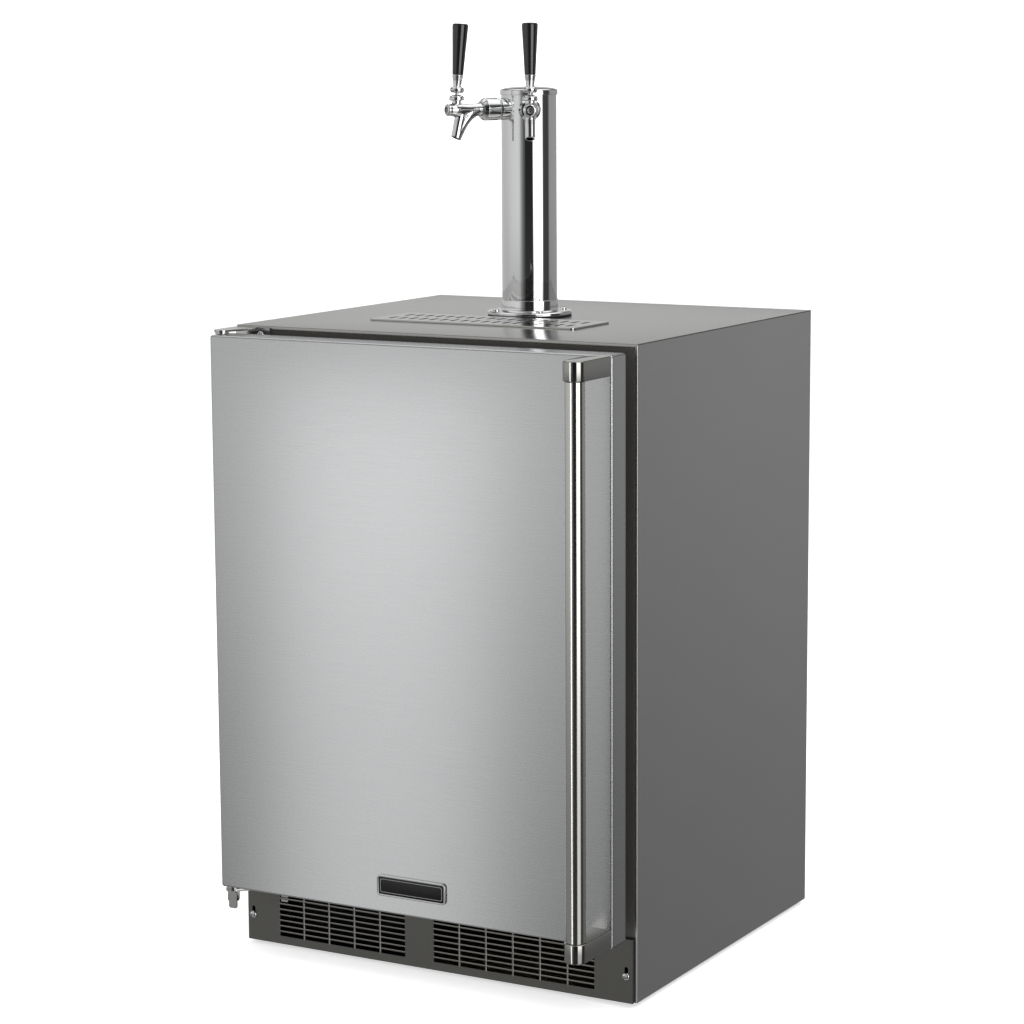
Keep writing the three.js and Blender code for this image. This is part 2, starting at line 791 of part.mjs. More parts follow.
// The upper arm holds the door's pin; one dome-headed screw fixes its leg to the face frame.
function upperHingePlate() {
  const arm = prismZ(hingeArmOutline(UPPER_ARM.width), [UPPER_ARM.bottom, UPPER_ARM.top]);
  const leg = block([-HALF + 0.5, -248], [-HINGE_LEG_FRONT, -0.5], [832, UPPER_ARM.top]);
  const pin = rod(HINGE.pin, [DOOR.top - 13, 852], 16).translate(HINGE.x, HINGE.y, 0);
  const washerZ = [DOOR.top + 0.7, UPPER_ARM.bottom + 0.5];
  const washer = rod(HINGE_WASHER, washerZ, 12).translate(HINGE.x, HINGE.y, 0);
  const head = turnedForward(HINGE_SCREW.profile, 12).translate(HINGE_SCREW.x, 0, HINGE_SCREW.z);
  return join(arm, leg, pin, washer, head);
}

// The lower arm carries the door; a tab bent down from its front edge stops the door.
function lowerHingePlate() {
  const arm = prismZ(hingeArmOutline(LOWER_ARM.width), [LOWER_ARM.bottom, LOWER_ARM.top]);
  const leg = block([-HALF + 5.2, -235], [-3.9, -0.9], [60, 84]);
  const pin = rod(HINGE.pin, [84, DOOR.bottom + 13], 16).translate(HINGE.x, HINGE.y, 0);
  const washer = rod(HINGE_WASHER, [LOWER_ARM.top - 1, DOOR.bottom - 0.7], 12).translate(HINGE.x, HINGE.y, 0);
  const nut = rod(HINGE_WASHER, [68, LOWER_ARM.bottom + 1], 6).translate(HINGE.x, HINGE.y, 0);
  const tab = prismY(roundedRect([-293, -280], [60, 84], 3), [-62, -59.5], 3);
  return join(arm, leg, pin, washer, nut, tab);
}

// ---------------------------------------------------------------- drip grille

function dripGrille() {
  const outline = roundedRect([DRIP.x - DRIP.half, DRIP.x + DRIP.half], [DRIP.front, DRIP.rear], 6);
  const slots = [];
  for (const y of [DRIP.front + 19, DRIP.front + 62]) {
    for (let i = 0; i < DRIP.slots; i += 1) {
      const x = DRIP.x + (i - (DRIP.slots - 1) / 2) * DRIP.pitch;
      slots.push(block([x - 2.7, x + 2.7], [y, y + 24], [HEIGHT, HEIGHT + 5]));
    }
  }
  const bottom = HEIGHT + GAP;
  const plate = prismZ(outline, [bottom, bottom + DRIP.thickness], 3);
  return cut(plate, mergeGeometries(slots));
}

// ---------------------------------------------------------------- tower

function flangeScrewPlaces() {
  return [45, 135, 225, 315].map((degrees) => {
    const angle = THREE.MathUtils.degToRad(degrees);
    return [FLANGE_SCREW_CIRCLE * Math.cos(angle), FLANGE_SCREW_CIRCLE * Math.sin(angle)];
  });
}

function towerGasket() {
  const ring = withHoles(disc(0, 0, TOWER.flange - 1), [
    disc(0, 0, TOWER_HOLE),
    ...flangeScrewPlaces().map(([x, y]) => polygon(arcPoints([x, y], 3, 0, 315, 7))),
  ]);
  return prismZ(ring, [HEIGHT + GAP, FLANGE_BOTTOM - GAP], 10);
}

function towerFlange() {
  const bore = TOWER.radius + GAP;
  const ring = turned(
    [
      [bore, FLANGE_BOTTOM],
      [TOWER.flange, FLANGE_BOTTOM],
      [TOWER.flange, FLANGE_TOP - 1],
      [TOWER.flange - 1, FLANGE_TOP],
      [bore + 1.4, FLANGE_TOP],
      [bore + 1.4, COLLAR_TOP],
      [bore, COLLAR_TOP],
      [bore, FLANGE_BOTTOM],
    ],
    28
  );
  const holes = flangeScrewPlaces().map(([x, y]) =>
    rod(2.7, [FLANGE_BOTTOM - 1, FLANGE_TOP + 1], 10).translate(x, y, 0)
  );
  return cut(ring, ...holes);
}

function flangeScrew([x, y]) {
  const head = FLANGE_TOP + GAP;
  const profile = [
    [0, HEIGHT + 0.2],
    [2.2, HEIGHT + 0.2],
    [2.2, head],
    [4.8, head],
    [4.4, head + 1.4],
    [2.6, head + 2.4],
    [0, head + 2.8],
  ];
  return turned(profile, 12).translate(x, y, 0);
}

// Turns a solid that points straight ahead towards one of the taps.
function towardsTap(geometry, side) {
  return geometry.rotateZ(THREE.MathUtils.degToRad(side * TAP_SPREAD));
}

function towerColumn() {
  const outer = TOWER.radius;
  const inner = outer - TOWER.wall;
  const bottom = FLANGE_BOTTOM;
  const tube = turned(
    [
      [inner, bottom],
      [outer, bottom],
      [outer, TOWER.top],
      [inner, TOWER.top],
      [inner, bottom],
    ],
    28
  );
  const holes = [-1, 1].map((side) => {
    const drill = turnedForward([[0, 20], [SHANK.thread + GAP, 20], [SHANK.thread + GAP, 60], [0, 60]], 24);
    return towardsTap(drill, side).translate(0, 0, TAP_HEIGHT);
  });
  return cut(tube, ...holes);
}

function towerCap() {
  const skirt = 1159;
  const outer = TOWER.radius + 1.6;
  const inner = TOWER.radius + GAP;
  const crown = 1170.5;
  return turned(
    [
      [inner, skirt],
      [outer, skirt],
      [outer, skirt + 5.5],
      [outer - 1, skirt + 7],
      [outer - 12, crown - 1.6],
      [outer - 25, crown - 0.4],
      [0, crown],
      [0, TOWER.top + 2.5],
      [inner - 8, TOWER.top + 1.5],
      [inner, TOWER.top + 0.5],
      [inner, skirt],
    ],
    28
  );
}

// Stainless line from a shank's tail, turning down the tower into the keg space.
function beerLine() {
  const start = SHANK.inner - GAP;
  const bend = 11;
  const points = [new THREE.Vector3(0, -start, TAP_HEIGHT)];
  for (let step = 0; step <= 6; step += 1) {
    const angle = (step / 6) * (Math.PI / 2);
    const y = -(start - 2 - bend * Math.sin(angle));
    const z = TAP_HEIGHT - bend * (1 - Math.cos(angle));
    points.push(new THREE.Vector3(0, y, z));
  }
  points.push(new THREE.Vector3(0, -(start - 2 - bend), CAVITY.ceiling - 12));
  const rings = points.map((point, i) => {
    const before = points[Math.max(i - 1, 0)];
    const after = points[Math.min(i + 1, points.length - 1)];
    return { point, direction: after.clone().sub(before).normalize() };
  });
  return tubeThrough(rings, disc(0, 0, LINE_RADIUS).getPoints(6).slice(0, -1));
}

// A closed tube: the section is set square to the path at each ring.
function tubeThrough(rings, section) {
  const positions = [];
  const index = [];
  const side = new THREE.Vector3(1, 0, 0);
  for (const { point, direction } of rings) {
    const up = new THREE.Vector3().crossVectors(side, direction);
    for (const { x, y } of section) {
      const place = point.clone().addScaledVector(side, x).addScaledVector(up, y);
      positions.push(place.x, place.y, place.z);
    }
  }
  const count = section.length;
  for (let ring = 0; ring < rings.length - 1; ring += 1) {
    for (let i = 0; i < count; i += 1) {
      const a = ring * count + i;
      const b = ring * count + ((i + 1) % count);
      index.push(a, b, b + count, a, b + count, a + count);
    }
  }
  const last = (rings.length - 1) * count;
  for (let i = 1; i < count - 1; i += 1) {
    index.push(0, i + 1, i, last, last + i, last + i + 1);
  }
  const geometry = new THREE.BufferGeometry();
  geometry.setAttribute("position", new THREE.Float32BufferAttribute(positions, 3));
  geometry.setIndex(index);
  return geometry;
}

// ---------------------------------------------------------------- taps
// A tap is drawn straight ahead of the tower's axis, with z = 0 on the shank's axis.

// The collar is hollowed to fit the round of the column; the threaded stem goes through it.
function shank() {
  const body = turnedForward(
    [
      [SHANK.bore, SHANK.inner],
      [SHANK.thread, SHANK.inner],
      [SHANK.thread, TOWER.radius - 4],
      [SHANK.collar, TOWER.radius - 4],
      [SHANK.collar, SHANK.collarFront - 1],
      [SHANK.collar - 1, SHANK.collarFront],
      [11.6, SHANK.collarFront],
      [11.6, SHANK.end],
      [SHANK.bore, SHANK.end],
      [SHANK.bore, SHANK.inner],
    ],
    16
  );
  const saddle = rod(TOWER.radius + GAP, [-30, 30], 48);
  const stem = turnedForward([[0, 0], [SHANK.thread, 0], [SHANK.thread, 60], [0, 60]], 28);
  return cut(body, cut(saddle, stem));
}

function couplingNut() {
  const back = SHANK.collarFront + GAP;
  return turnedForward(
    [
      [11.9, back],
      [NUT.radius, back],
      [NUT.radius, NUT.front - 5],
      [NUT.radius - 3.4, NUT.front],
      [9.2, NUT.front],
      [9.2, NUT.front - 3],
      [11.9, NUT.front - 3],
      [11.9, back],
    ],
    28
  );
}

// Body of a faucet: barrel, nose, spout and the neck that holds the lever's ball.
function faucetBody() {
  const rear = SHANK.end + GAP;
  const barrel = turnedForward(
    [
      [0, rear],
      [11.4, rear],
      [11.4, NUT.front - 3.4],
      [8.8, NUT.front - 3.2],
      [8, NUT.front + 16],
      [8.2, LEVER_REACH - 10],
      [9.6, LEVER_REACH - 4],
      [9.6, LEVER_REACH + 4],
      [8.4, LEVER_REACH + 8],
      [7.4, LEVER_REACH + 10],
      [7.4, NOSE_FRONT - 1],
      [6.6, NOSE_FRONT],
      [0, NOSE_FRONT],
    ],
    14
  );
  const neck = rod(6, [0, BALL_HEIGHT], 24).translate(0, -LEVER_REACH, 0);
  const spout = spoutTube(7, 0);
  const spoutBore = spoutTube(5.2, 2);
  const chamber = turnedForward(
    [
      [0, rear - 1],
      [VALVE.chamber, rear - 1],
      [VALVE.chamber, VALVE.seat],
      [VALVE.bore, VALVE.seat],
      [VALVE.bore, NOSE_FRONT + 1],
      [0, NOSE_FRONT + 1],
    ],
    14
  );
  const socket = new THREE.SphereGeometry(5.35, 12, 6).translate(0, -LEVER_REACH, BALL_HEIGHT);
  const swing = polygon([
    [-LEVER_REACH - 3.6, 1],
    [-LEVER_REACH + 9.2, 1],
    [-LEVER_REACH + 3.2, BALL_HEIGHT - 1],
    [-LEVER_REACH - 3.2, BALL_HEIGHT - 1],
  ]);
  const stubRoom = prismX(swing, [-2.4, 2.4]);
  return cut(join(barrel, neck, spout), chamber, spoutBore, socket, stubRoom);
}

// The spout leaves the barrel behind the lever and turns down to a slanting mouth.
function spoutTube(radius, extra) {
  const path = new THREE.QuadraticBezierCurve(
    new THREE.Vector2(84, -0.5),
    new THREE.Vector2(99.6, -5.6),
    new THREE.Vector2(115.4, -38)
  );
  const steps = 4;
  const rings = [];
  for (let step = 0; step <= steps; step += 1) {
    const at = path.getPoint(step / steps);
    const along = path.getTangent(step / steps);
    if (step === steps) at.addScaledVector(along, extra);
    rings.push({
      point: new THREE.Vector3(0, -at.x, at.y),
      direction: new THREE.Vector3(0, -along.x, along.y),
    });
  }
  return tubeThrough(rings, disc(0, 0, radius).getPoints(7).slice(0, -1));
}

function bonnet() {
  return turned(
    [
      [6.3, 12.4],
      [9.6, 12.4],
      [10.25, 13.4],
      [10.25, 17],
      [9.4, 18.2],
      [8.3, 18.9],
      [4.95, 20.2],
      [4.7, 18.4],
      [5.5, 17.6],
      [5.5, BALL_HEIGHT + 0.3],
      [6.3, BALL_HEIGHT + 0.3],
      [6.3, 12.4],
    ],
    16
  ).translate(0, -LEVER_REACH, 0);
}

// Lever: a stub that moves the valve, the ball, the stem, a collar and the grip's ferrule.
function lever() {
  const ball = arcPoints([0, 0], 5, -68, 60, 6);
  const profile = [
    [0, -15.4],
    [1.2, -15.2],
    [1.87, -14],
    ...ball,
    [2.5, 6.7],
    [5.9, 6.7],
    [8.2, 7.6],
    [8.85, 9.4],
    [8.85, 12],
    [8.2, 13.8],
    [5.9, 14.8],
    [5.5, 15.3],
    [6, 20],
    [7.9, 30.6],
    [0, 30.6],
  ];
  return turned(profile, 12);
}

function grip() {
  return turned(
    [
      [0, 30.9],
      [7.5, 30.9],
      [8.6, 55],
      [10.9, 96.5],
      [10.6, 98.4],
      [9.4, 99.3],
      [0, 99.7],
    ],
    14
  );
}

// Valve shaft: the seal head closes the seat from behind; a cross slot takes the lever's stub.
function valveShaft() {
  const rear = VALVE.seat - 4.2;
  const rod0 = turnedForward(
    [
      [0, rear],
      [VALVE.head, rear],
      [VALVE.head, rear + 3.6],
      [2.6, rear + 3.6],
      [2.6, LEVER_REACH - 7],
      [VALVE.shaft, LEVER_REACH - 6],
      [VALVE.shaft, NOSE_FRONT - 1.5],
      [0, NOSE_FRONT - 1.5],
    ],
    14
  );
  const centre = -LEVER_REACH - 14 * Math.sin(THREE.MathUtils.degToRad(LEVER_LEAN));
  const slot = block([-2.6, 2.6], [centre - 2.7, centre + 2.7], [-0.8, 6]);
  return cut(rod0, slot);
}

// ---------------------------------------------------------------- assembly

function buildCabinet() {
  const cabinet = new THREE.Group();
  add(cabinet, "side_panel_left", sidePanel(-1), brushedSteel);
  add(cabinet, "side_panel_right", sidePanel(1), brushedSteel);
  add(cabinet, "top_panel", topPanel(), brushedSteel);
  add(cabinet, "drip_tray", dripTray(), brushedSteel);
  add(cabinet, "back_panel", backPanel(), darkSteel);
  add(cabinet, "base_pan", basePan(), darkSteel);
  add(cabinet, "face_frame", faceFrame(), blackPlastic);
  add(cabinet, "liner", liner(), linerWhite);
  add(cabinet, "cabinet_insulation", cabinetInsulation(), foam);
  add(cabinet, "kickplate", kickplate(), darkSteel);
  add(cabinet, "kickplate_screw_left", kickplateScrew(-1), satinSteel);
  add(cabinet, "kickplate_screw_right", kickplateScrew(1), satinSteel);
  add(cabinet, "keg_floor_plate", kegFloorPlate(), satinSteel);
  add(cabinet, "evaporator_plate", evaporatorPlate(), aluminium);
  add(cabinet, "control_housing", controlHousing(), linerWhite);
  add(cabinet, "thermostat_knob", thermostatKnob(), blackPlastic);
  add(cabinet, "compressor", compressor(), blackEnamel);
  add(cabinet, "condenser_coil", condenserCoil(), aluminium);
  add(cabinet, "condenser_fan_motor", condenserFanMotor(), blackEnamel);
  const fan = add(cabinet, "condenser_fan_blade", condenserFanBlade(), blackPlastic);
  fan.position.set(FAN.x, COIL.rear + 8, FAN.z);
  add(cabinet, "power_inlet", powerInlet(), blackPlastic);
  add(cabinet, "drip_grille", dripGrille(), brushedSteel);
  add(cabinet, "upper_hinge_plate", upperHingePlate(), satinSteel);
  add(cabinet, "lower_hinge_plate", lowerHingePlate(), satinSteel);
  for (const [x, y] of legPlaces()) {
    const name = `leveling_leg_${y < DEPTH / 2 ? "front" : "rear"}_${x < 0 ? "left" : "right"}`;
    add(cabinet, name, levelingLeg(), blackPlastic).position.set(x, y, 0);
  }
  return cabinet;
}

function buildDoor() {
  const door = new THREE.Group();
  add(door, "door_skin", doorSkin(), brushedSteel);
  add(door, "door_core", doorCore(), foam);
  add(door, "door_liner", doorLiner(), blackPlastic);
  add(door, "door_gasket", doorGasket(), rubber);
  add(door, "handle_bar", handleBar(), satinSteel);
  add(door, "handle_bracket_upper", handleBracket(BRACKET_UPPER), chrome);
  add(door, "handle_bracket_lower", handleBracket(BRACKET_LOWER), chrome);
  add(door, "badge_plate", badgePlate(), chrome);
  return door;
}

function buildTap(side) {
  const label = side < 0 ? "left" : "right";
  const tap = new THREE.Group();
  add(tap, `shank_${label}`, shank(), chrome);
  add(tap, `coupling_nut_${label}`, couplingNut(), chrome);
  add(tap, `faucet_body_${label}`, faucetBody(), chrome);
  add(tap, `bonnet_${label}`, bonnet(), chrome);
  add(tap, `valve_shaft_${label}`, valveShaft(), satinSteel);
  const handle = new THREE.Group();
  add(handle, `lever_${label}`, lever(), chrome);
  add(handle, `grip_${label}`, grip(), glossBlack);
  handle.position.set(0, -LEVER_REACH, BALL_HEIGHT);
  handle.rotation.x = -THREE.MathUtils.degToRad(LEVER_LEAN);
  tap.add(handle);
  tap.position.z = TAP_HEIGHT;
  tap.rotation.z = THREE.MathUtils.degToRad(side * TAP_SPREAD);
  return tap;
}

function buildTower() {
  const tower = new THREE.Group();
  add(tower, "tower_gasket", towerGasket(), rubber);
  add(tower, "tower_flange", towerFlange(), chrome);
  flangeScrewPlaces().forEach((place, i) => {
    add(tower, `flange_screw_${i + 1}`, flangeScrew(place), satinSteel);
  });
  add(tower, "tower_column", towerColumn(), chrome);
  add(tower, "tower_cap", towerCap(), chrome);
  for (const side of [-1, 1]) {
    add(tower, `beer_line_${side < 0 ? "left" : "right"}`, towardsTap(beerLine(), side), satinSteel);
    tower.add(buildTap(side));
  }
  tower.position.set(TOWER.x, TOWER.y, 0);
  return tower;
}

function buildKegerator() {
  const handleFront = HANDLE.y - HANDLE.bracketHalf;
  const middle = (handleFront + DEPTH) / 2;
  const kegerator = new THREE.Group();
  kegerator.add(buildCabinet(), buildDoor(), buildTower());
  kegerator.position.set(0, -middle, FOOT_HEIGHT);
  return kegerator;
}

export default buildKegerator();
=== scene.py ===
import json
import math

import bmesh
import bpy
from mathutils import Matrix, Vector


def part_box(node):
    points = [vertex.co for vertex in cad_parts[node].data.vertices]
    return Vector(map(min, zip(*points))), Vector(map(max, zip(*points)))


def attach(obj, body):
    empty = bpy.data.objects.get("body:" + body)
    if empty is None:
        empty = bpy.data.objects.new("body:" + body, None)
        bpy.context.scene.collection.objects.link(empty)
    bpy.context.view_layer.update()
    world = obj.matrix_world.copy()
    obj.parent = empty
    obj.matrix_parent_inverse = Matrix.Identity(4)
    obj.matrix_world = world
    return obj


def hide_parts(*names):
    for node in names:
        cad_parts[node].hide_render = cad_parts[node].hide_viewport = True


# The looks of a built-in two-tap kegerator: brushed steel cabinet and door, chrome beer tower.
# Shapes are drawn in millimetres in the frame's own axes, and become metres in piece().

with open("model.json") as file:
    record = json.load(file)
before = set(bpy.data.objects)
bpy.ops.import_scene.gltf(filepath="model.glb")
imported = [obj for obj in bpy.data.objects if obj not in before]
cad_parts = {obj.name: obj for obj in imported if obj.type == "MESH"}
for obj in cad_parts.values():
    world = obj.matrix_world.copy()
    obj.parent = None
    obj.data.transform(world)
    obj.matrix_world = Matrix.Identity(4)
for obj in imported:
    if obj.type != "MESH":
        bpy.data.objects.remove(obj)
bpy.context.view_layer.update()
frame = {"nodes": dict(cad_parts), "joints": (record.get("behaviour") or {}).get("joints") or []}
MM = 0.001


def extent(node):
    """Lowest and highest corner of a CAD node, in millimetres."""
    low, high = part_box(node)
    return low / MM, high / MM


# ---------------------------------------------------------------- places and sizes, from the frame

SIDE_LOW, SIDE_HIGH = extent("side_panel_right")
TOP_HIGH = extent("top_panel")[1]
BACK_LOW, BACK_HIGH = extent("back_panel")
FACE_LOW, FACE_HIGH = extent("face_frame")
LINER_LOW, LINER_HIGH = extent("liner")
KICK_LOW, KICK_HIGH = extent("kickplate")
DOOR_LOW, DOOR_HIGH = extent("door_skin")
DOOR_LINER_LOW, DOOR_LINER_HIGH = extent("door_liner")
GASKET_LOW, GASKET_HIGH = extent("door_gasket")
BAR_LOW, BAR_HIGH = extent("handle_bar")
BADGE_LOW, BADGE_HIGH = extent("badge_plate")
DRIP_LOW, DRIP_HIGH = extent("drip_grille")
TRAY_LOW, TRAY_HIGH = extent("drip_tray")
COLUMN_LOW, COLUMN_HIGH = extent("tower_column")
FLANGE_LOW, FLANGE_HIGH = extent("tower_flange")
CAP_LOW, CAP_HIGH = extent("tower_cap")
HOUSING_LOW, HOUSING_HIGH = extent("control_housing")
KNOB_LOW, KNOB_HIGH = extent("thermostat_knob")
COIL_LOW, COIL_HIGH = extent("condenser_coil")
COMPRESSOR_LOW, COMPRESSOR_HIGH = extent("compressor")
MOTOR_LOW = extent("condenser_fan_motor")[0]
EVAPORATOR_LOW, EVAPORATOR_HIGH = extent("evaporator_plate")
KEG_PLATE_LOW, KEG_PLATE_HIGH = extent("keg_floor_plate")

SHEET = 1.2  # thickness of the cabinet's sheets
GAP = 0.3  # clearance between pieces that touch
FRONT = SIDE_LOW.y
HALF = SIDE_HIGH.x
SIDE_HEM = 3.5
REAR_RETURN = 14
TOP_RETURN = 5.2
LINER_WALL = 3
CAVITY_CORNER = 25
CAVITY_X = (LINER_LOW.x + LINER_WALL, LINER_HIGH.x - LINER_WALL)
CAVITY_Z = (LINER_LOW.z + LINER_WALL, LINER_HIGH.z - LINER_WALL)
STEP_DEPTH = 412  # from the cabinet's front to the step over the compressor
STEP_HEIGHT = 250
TOWER_HOLE = 30  # radius of the hole for the beer lines
FLANGE_SCREW_CIRCLE = 48.5
LEVER_LEAN = 4  # degrees that a closed lever leans back

TOWER_X = (COLUMN_LOW.x + COLUMN_HIGH.x) / 2
TOWER_Y = (COLUMN_LOW.y + COLUMN_HIGH.y) / 2
TOWER_RADIUS = (COLUMN_HIGH.x - COLUMN_LOW.x) / 2
SHANK_LOW, SHANK_HIGH = extent("shank_left")
TAP_Z = (SHANK_LOW.z + SHANK_HIGH.z) / 2


def joint_place(name):
    """Where a joint's axis is, in millimetres."""
    found = next(joint for joint in frame["joints"] if joint["name"] == name)
    return Vector(found["pos_m"]) / MM


HINGE = joint_place("door_hinge")
LEVER_PIVOT = joint_place("tap_lever_right_tilt")
LEVER_REACH = math.hypot(LEVER_PIVOT.x - TOWER_X, LEVER_PIVOT.y - TOWER_Y)
TAP_SPREAD = math.atan2(LEVER_PIVOT.x - TOWER_X, TOWER_Y - LEVER_PIVOT.y)
BALL_HEIGHT = LEVER_PIVOT.z - TAP_Z
SIDES = {"left": -1, "right": 1}


# ---------------------------------------------------------------- camera

CAMERA_ANGLES = (29.448, 8.988, -0.328)  # azimuth from the front, elevation and roll, in degrees
CAMERA_DISTANCE = 4.0549
CAMERA_TARGET = Vector((-0.0196, 0.0545, 0.5913))
CAMERA_LENS = 102.54


def make_camera():
    """The camera stands right of the door's front and looks slightly down, with a long lens."""
    azimuth, elevation, roll = (math.radians(angle) for angle in CAMERA_ANGLES)
    back = Vector((
        math.sin(azimuth) * math.cos(elevation),
        -math.cos(azimuth) * math.cos(elevation),
        math.sin(elevation),
    ))
    right = (-back).cross(Vector((0, 0, 1))).normalized()
    up = right.cross(-back)
    turned_right = right * math.cos(roll) + up * math.sin(roll)
    turned_up = up * math.cos(roll) - right * math.sin(roll)
    data = bpy.data.cameras.new("camera")
    data.sensor_width = 36
    data.lens = CAMERA_LENS
    camera = bpy.data.objects.new("camera", data)
    axes = Matrix((turned_right, turned_up, back)).transposed().to_4x4()
    camera.matrix_world = Matrix.Translation(CAMERA_TARGET + back * CAMERA_DISTANCE) @ axes
    bpy.context.scene.collection.objects.link(camera)
    bpy.context.scene.camera = camera


# ---------------------------------------------------------------- solids: (points, faces) in millimetres

def rounded_rect(x, z, radius, steps=8):
    """Corners of a rectangle from x[0] to x[1] and z[0] to z[1], each rounded by an arc."""
    centres = (
        (x[1] - radius, z[0] + radius, -90),
        (x[1] - radius, z[1] - radius, 0),
        (x[0] + radius, z[1] - radius, 90),
        (x[0] + radius, z[0] + radius, 180),
    )
    points = []
    for cx, cz, start in centres:
        for step in range(steps + 1):
            angle = math.radians(start + 90 * step / steps)
            points.append((cx + radius * math.cos(angle), cz + radius * math.sin(angle)))
    return points


def inset_rect(x, z, inset, radius, steps=8):
    """A rounded rectangle drawn in by `inset` on all sides."""
    return rounded_rect((x[0] + inset, x[1] - inset), (z[0] + inset, z[1] - inset), radius, steps)


def softened(points, radius, steps=4, closed=False):
    """A polyline with each corner replaced by a smooth bend that starts `radius` before it."""
    points = [Vector(point) for point in points]
    result = []
    for i, corner in enumerate(points):
        if not closed and i in (0, len(points) - 1):
            result.append(corner)
            continue
        before, after = points[i - 1], points[(i + 1) % len(points)]
        reach_in = min(radius, (before - corner).length * 0.48)
        reach_out = min(radius, (after - corner).length * 0.48)
        start = corner + (before - corner).normalized() * reach_in
        end = corner + (after - corner).normalized() * reach_out
        for step in range(steps + 1):
            t = step / steps
            result.append(start * (1 - t) ** 2 + corner * 2 * t * (1 - t) + end * t ** 2)
    return result


def arc(centre, radius, start, end, steps=12):
    """Points on an arc, with its angles in degrees."""
    angles = [math.radians(start + (end - start) * i / steps) for i in range(steps + 1)]
    return [(centre[0] + radius * math.cos(a), centre[1] + radius * math.sin(a)) for a in angles]


def loft(rings, loop=False):
    """Skin over rings of equally many points: capped at both ends, or joined end to end."""
    count = len(rings[0])
    points = [Vector(point) for ring in rings for point in ring]
    faces = []
    for r in range(len(rings) if loop else len(rings) - 1):
        first, second = r * count, ((r + 1) % len(rings)) * count
        for i in range(count):
            j = (i + 1) % count
            faces.append((first + i, first + j, second + j, second + i))
    if not loop:
        faces.append(tuple(reversed(range(count))))
        faces.append(tuple(range(len(points) - count, len(points))))
    return points, faces


def on_x(outline, x):
    return [(x, point[0], point[1]) for point in outline]


def on_y(outline, y):
    return [(point[0], y, point[1]) for point in outline]


def on_z(outline, z):
    return [(point[0], point[1], z) for point in outline]


def prism(outline, ends, lift):
    """An outline extruded between two places along the axis that `lift` stands for."""
    return loft([lift(outline, ends[0]), lift(outline, ends[1])])


def block(x, y, z):
    return prism([(x[0], y[0]), (x[1], y[0]), (x[1], y[1]), (x[0], y[1])], z, on_z)


def lathe(profile, segments=48, loop=False):
    """(radius, height) points turned about Z. An end on the axis closes in one point."""
    points, faces, rings = [], [], []
    for radius, height in profile:
        if radius < 1e-6:
            rings.append([len(points)])
            points.append(Vector((0, 0, height)))
            continue
        rings.append(list(range(len(points), len(points) + segments)))
        for i in range(segments):
            angle = 2 * math.pi * i / segments
            points.append(Vector((radius * math.cos(angle), radius * math.sin(angle), height)))
    pairs = list(zip(rings, rings[1:]))
    if loop:
        pairs.append((rings[-1], rings[0]))
    for first, second in pairs:
        for i in range(segments):
            j = (i + 1) % segments
            corners = [first[i % len(first)], first[j % len(first)]]
            corners += [second[j % len(second)], second[i % len(second)]]
            faces.append(tuple(dict.fromkeys(corners)))
    return points, faces


def turned(profile, soft=0.4, segments=48, loop=False):
    """A lathed solid whose profile's corners are softened."""
    return lathe(softened(profile, soft, closed=loop), segments, loop)


def rod(radius, z, segments=48, soft=0.0):
    profile = [(0, z[0]), (radius, z[0]), (radius, z[1]), (0, z[1])]
    return turned(profile, soft, segments) if soft else lathe(profile, segments)


def tube(path, radii, sides=32):
    """A round bar along a path that stays in a plane of constant X, with a radius at each point."""
    path = [Vector(point) for point in path]
    across = Vector((1, 0, 0))
    rings = []
    for i, point in enumerate(path):
        along = (path[min(i + 1, len(path) - 1)] - path[max(i - 1, 0)]).normalized()
        up = across.cross(along)
        ring = []
        for side in range(sides):
            angle = 2 * math.pi * side / sides
            ring.append(point + (across * math.cos(angle) + up * math.sin(angle)) * radii[i])
        rings.append(ring)
    return loft(rings)


def moved(solid, matrix):
    return [matrix @ point for point in solid[0]], solid[1]


def shifted(solid, x=0, y=0, z=0):
    return moved(solid, Matrix.Translation((x, y, z)))


def rotated(solid, degrees, axis):
    return moved(solid, Matrix.Rotation(math.radians(degrees), 4, axis))


def forward(solid):
    """Turns a solid that stands along +Z so that it points to the front."""
    return rotated(solid, 90, "X")


def together(*solids):
    """Several solids as one, without joining their surfaces."""
    points, faces = [], []
    for solid_points, solid_faces in solids:
        start = len(points)
        points += solid_points
        faces += [tuple(start + i for i in face) for face in solid_faces]
    return points, faces


def to_object(name, solid, scale=1.0):
    """A Blender object with the solid's faces turned outwards."""
    mesh = bpy.data.meshes.new(name)
    mesh.from_pydata([tuple(point * scale) for point in solid[0]], [], solid[1])
    work = bmesh.new()
    work.from_mesh(mesh)
    bmesh.ops.remove_doubles(work, verts=work.verts, dist=1e-5 * scale)
    bmesh.ops.recalc_face_normals(work, faces=work.faces)
    work.to_mesh(mesh)
    work.free()
    item = bpy.data.objects.new(name, mesh)
    bpy.context.scene.collection.objects.link(item)
    return item


def applied(item):
    """The item's mesh with its modifiers applied, as a solid; the item itself is removed."""
    graph = bpy.context.evaluated_depsgraph_get()
    mesh = bpy.data.meshes.new_from_object(item.evaluated_get(graph))
    solid = ([v.co.copy() for v in mesh.vertices], [tuple(p.vertices) for p in mesh.polygons])
    bpy.data.objects.remove(item)
    return solid


def boolean(operation, base, *others):
    """Joins or cuts solids; the scratch objects are removed again."""
    item = to_object("scratch", base)
    helpers = []
    for other in others:
        helper = to_object("scratch_tool", other)
        modifier = item.modifiers.new("boolean", "BOOLEAN")
        modifier.operation = operation
        modifier.solver = "EXACT"
        modifier.object = helper
        helpers.append(helper)
    solid = applied(item)
    for helper in helpers:
        bpy.data.objects.remove(helper)
    return solid


def joined(base, *others):
    return boolean("UNION", base, *others)


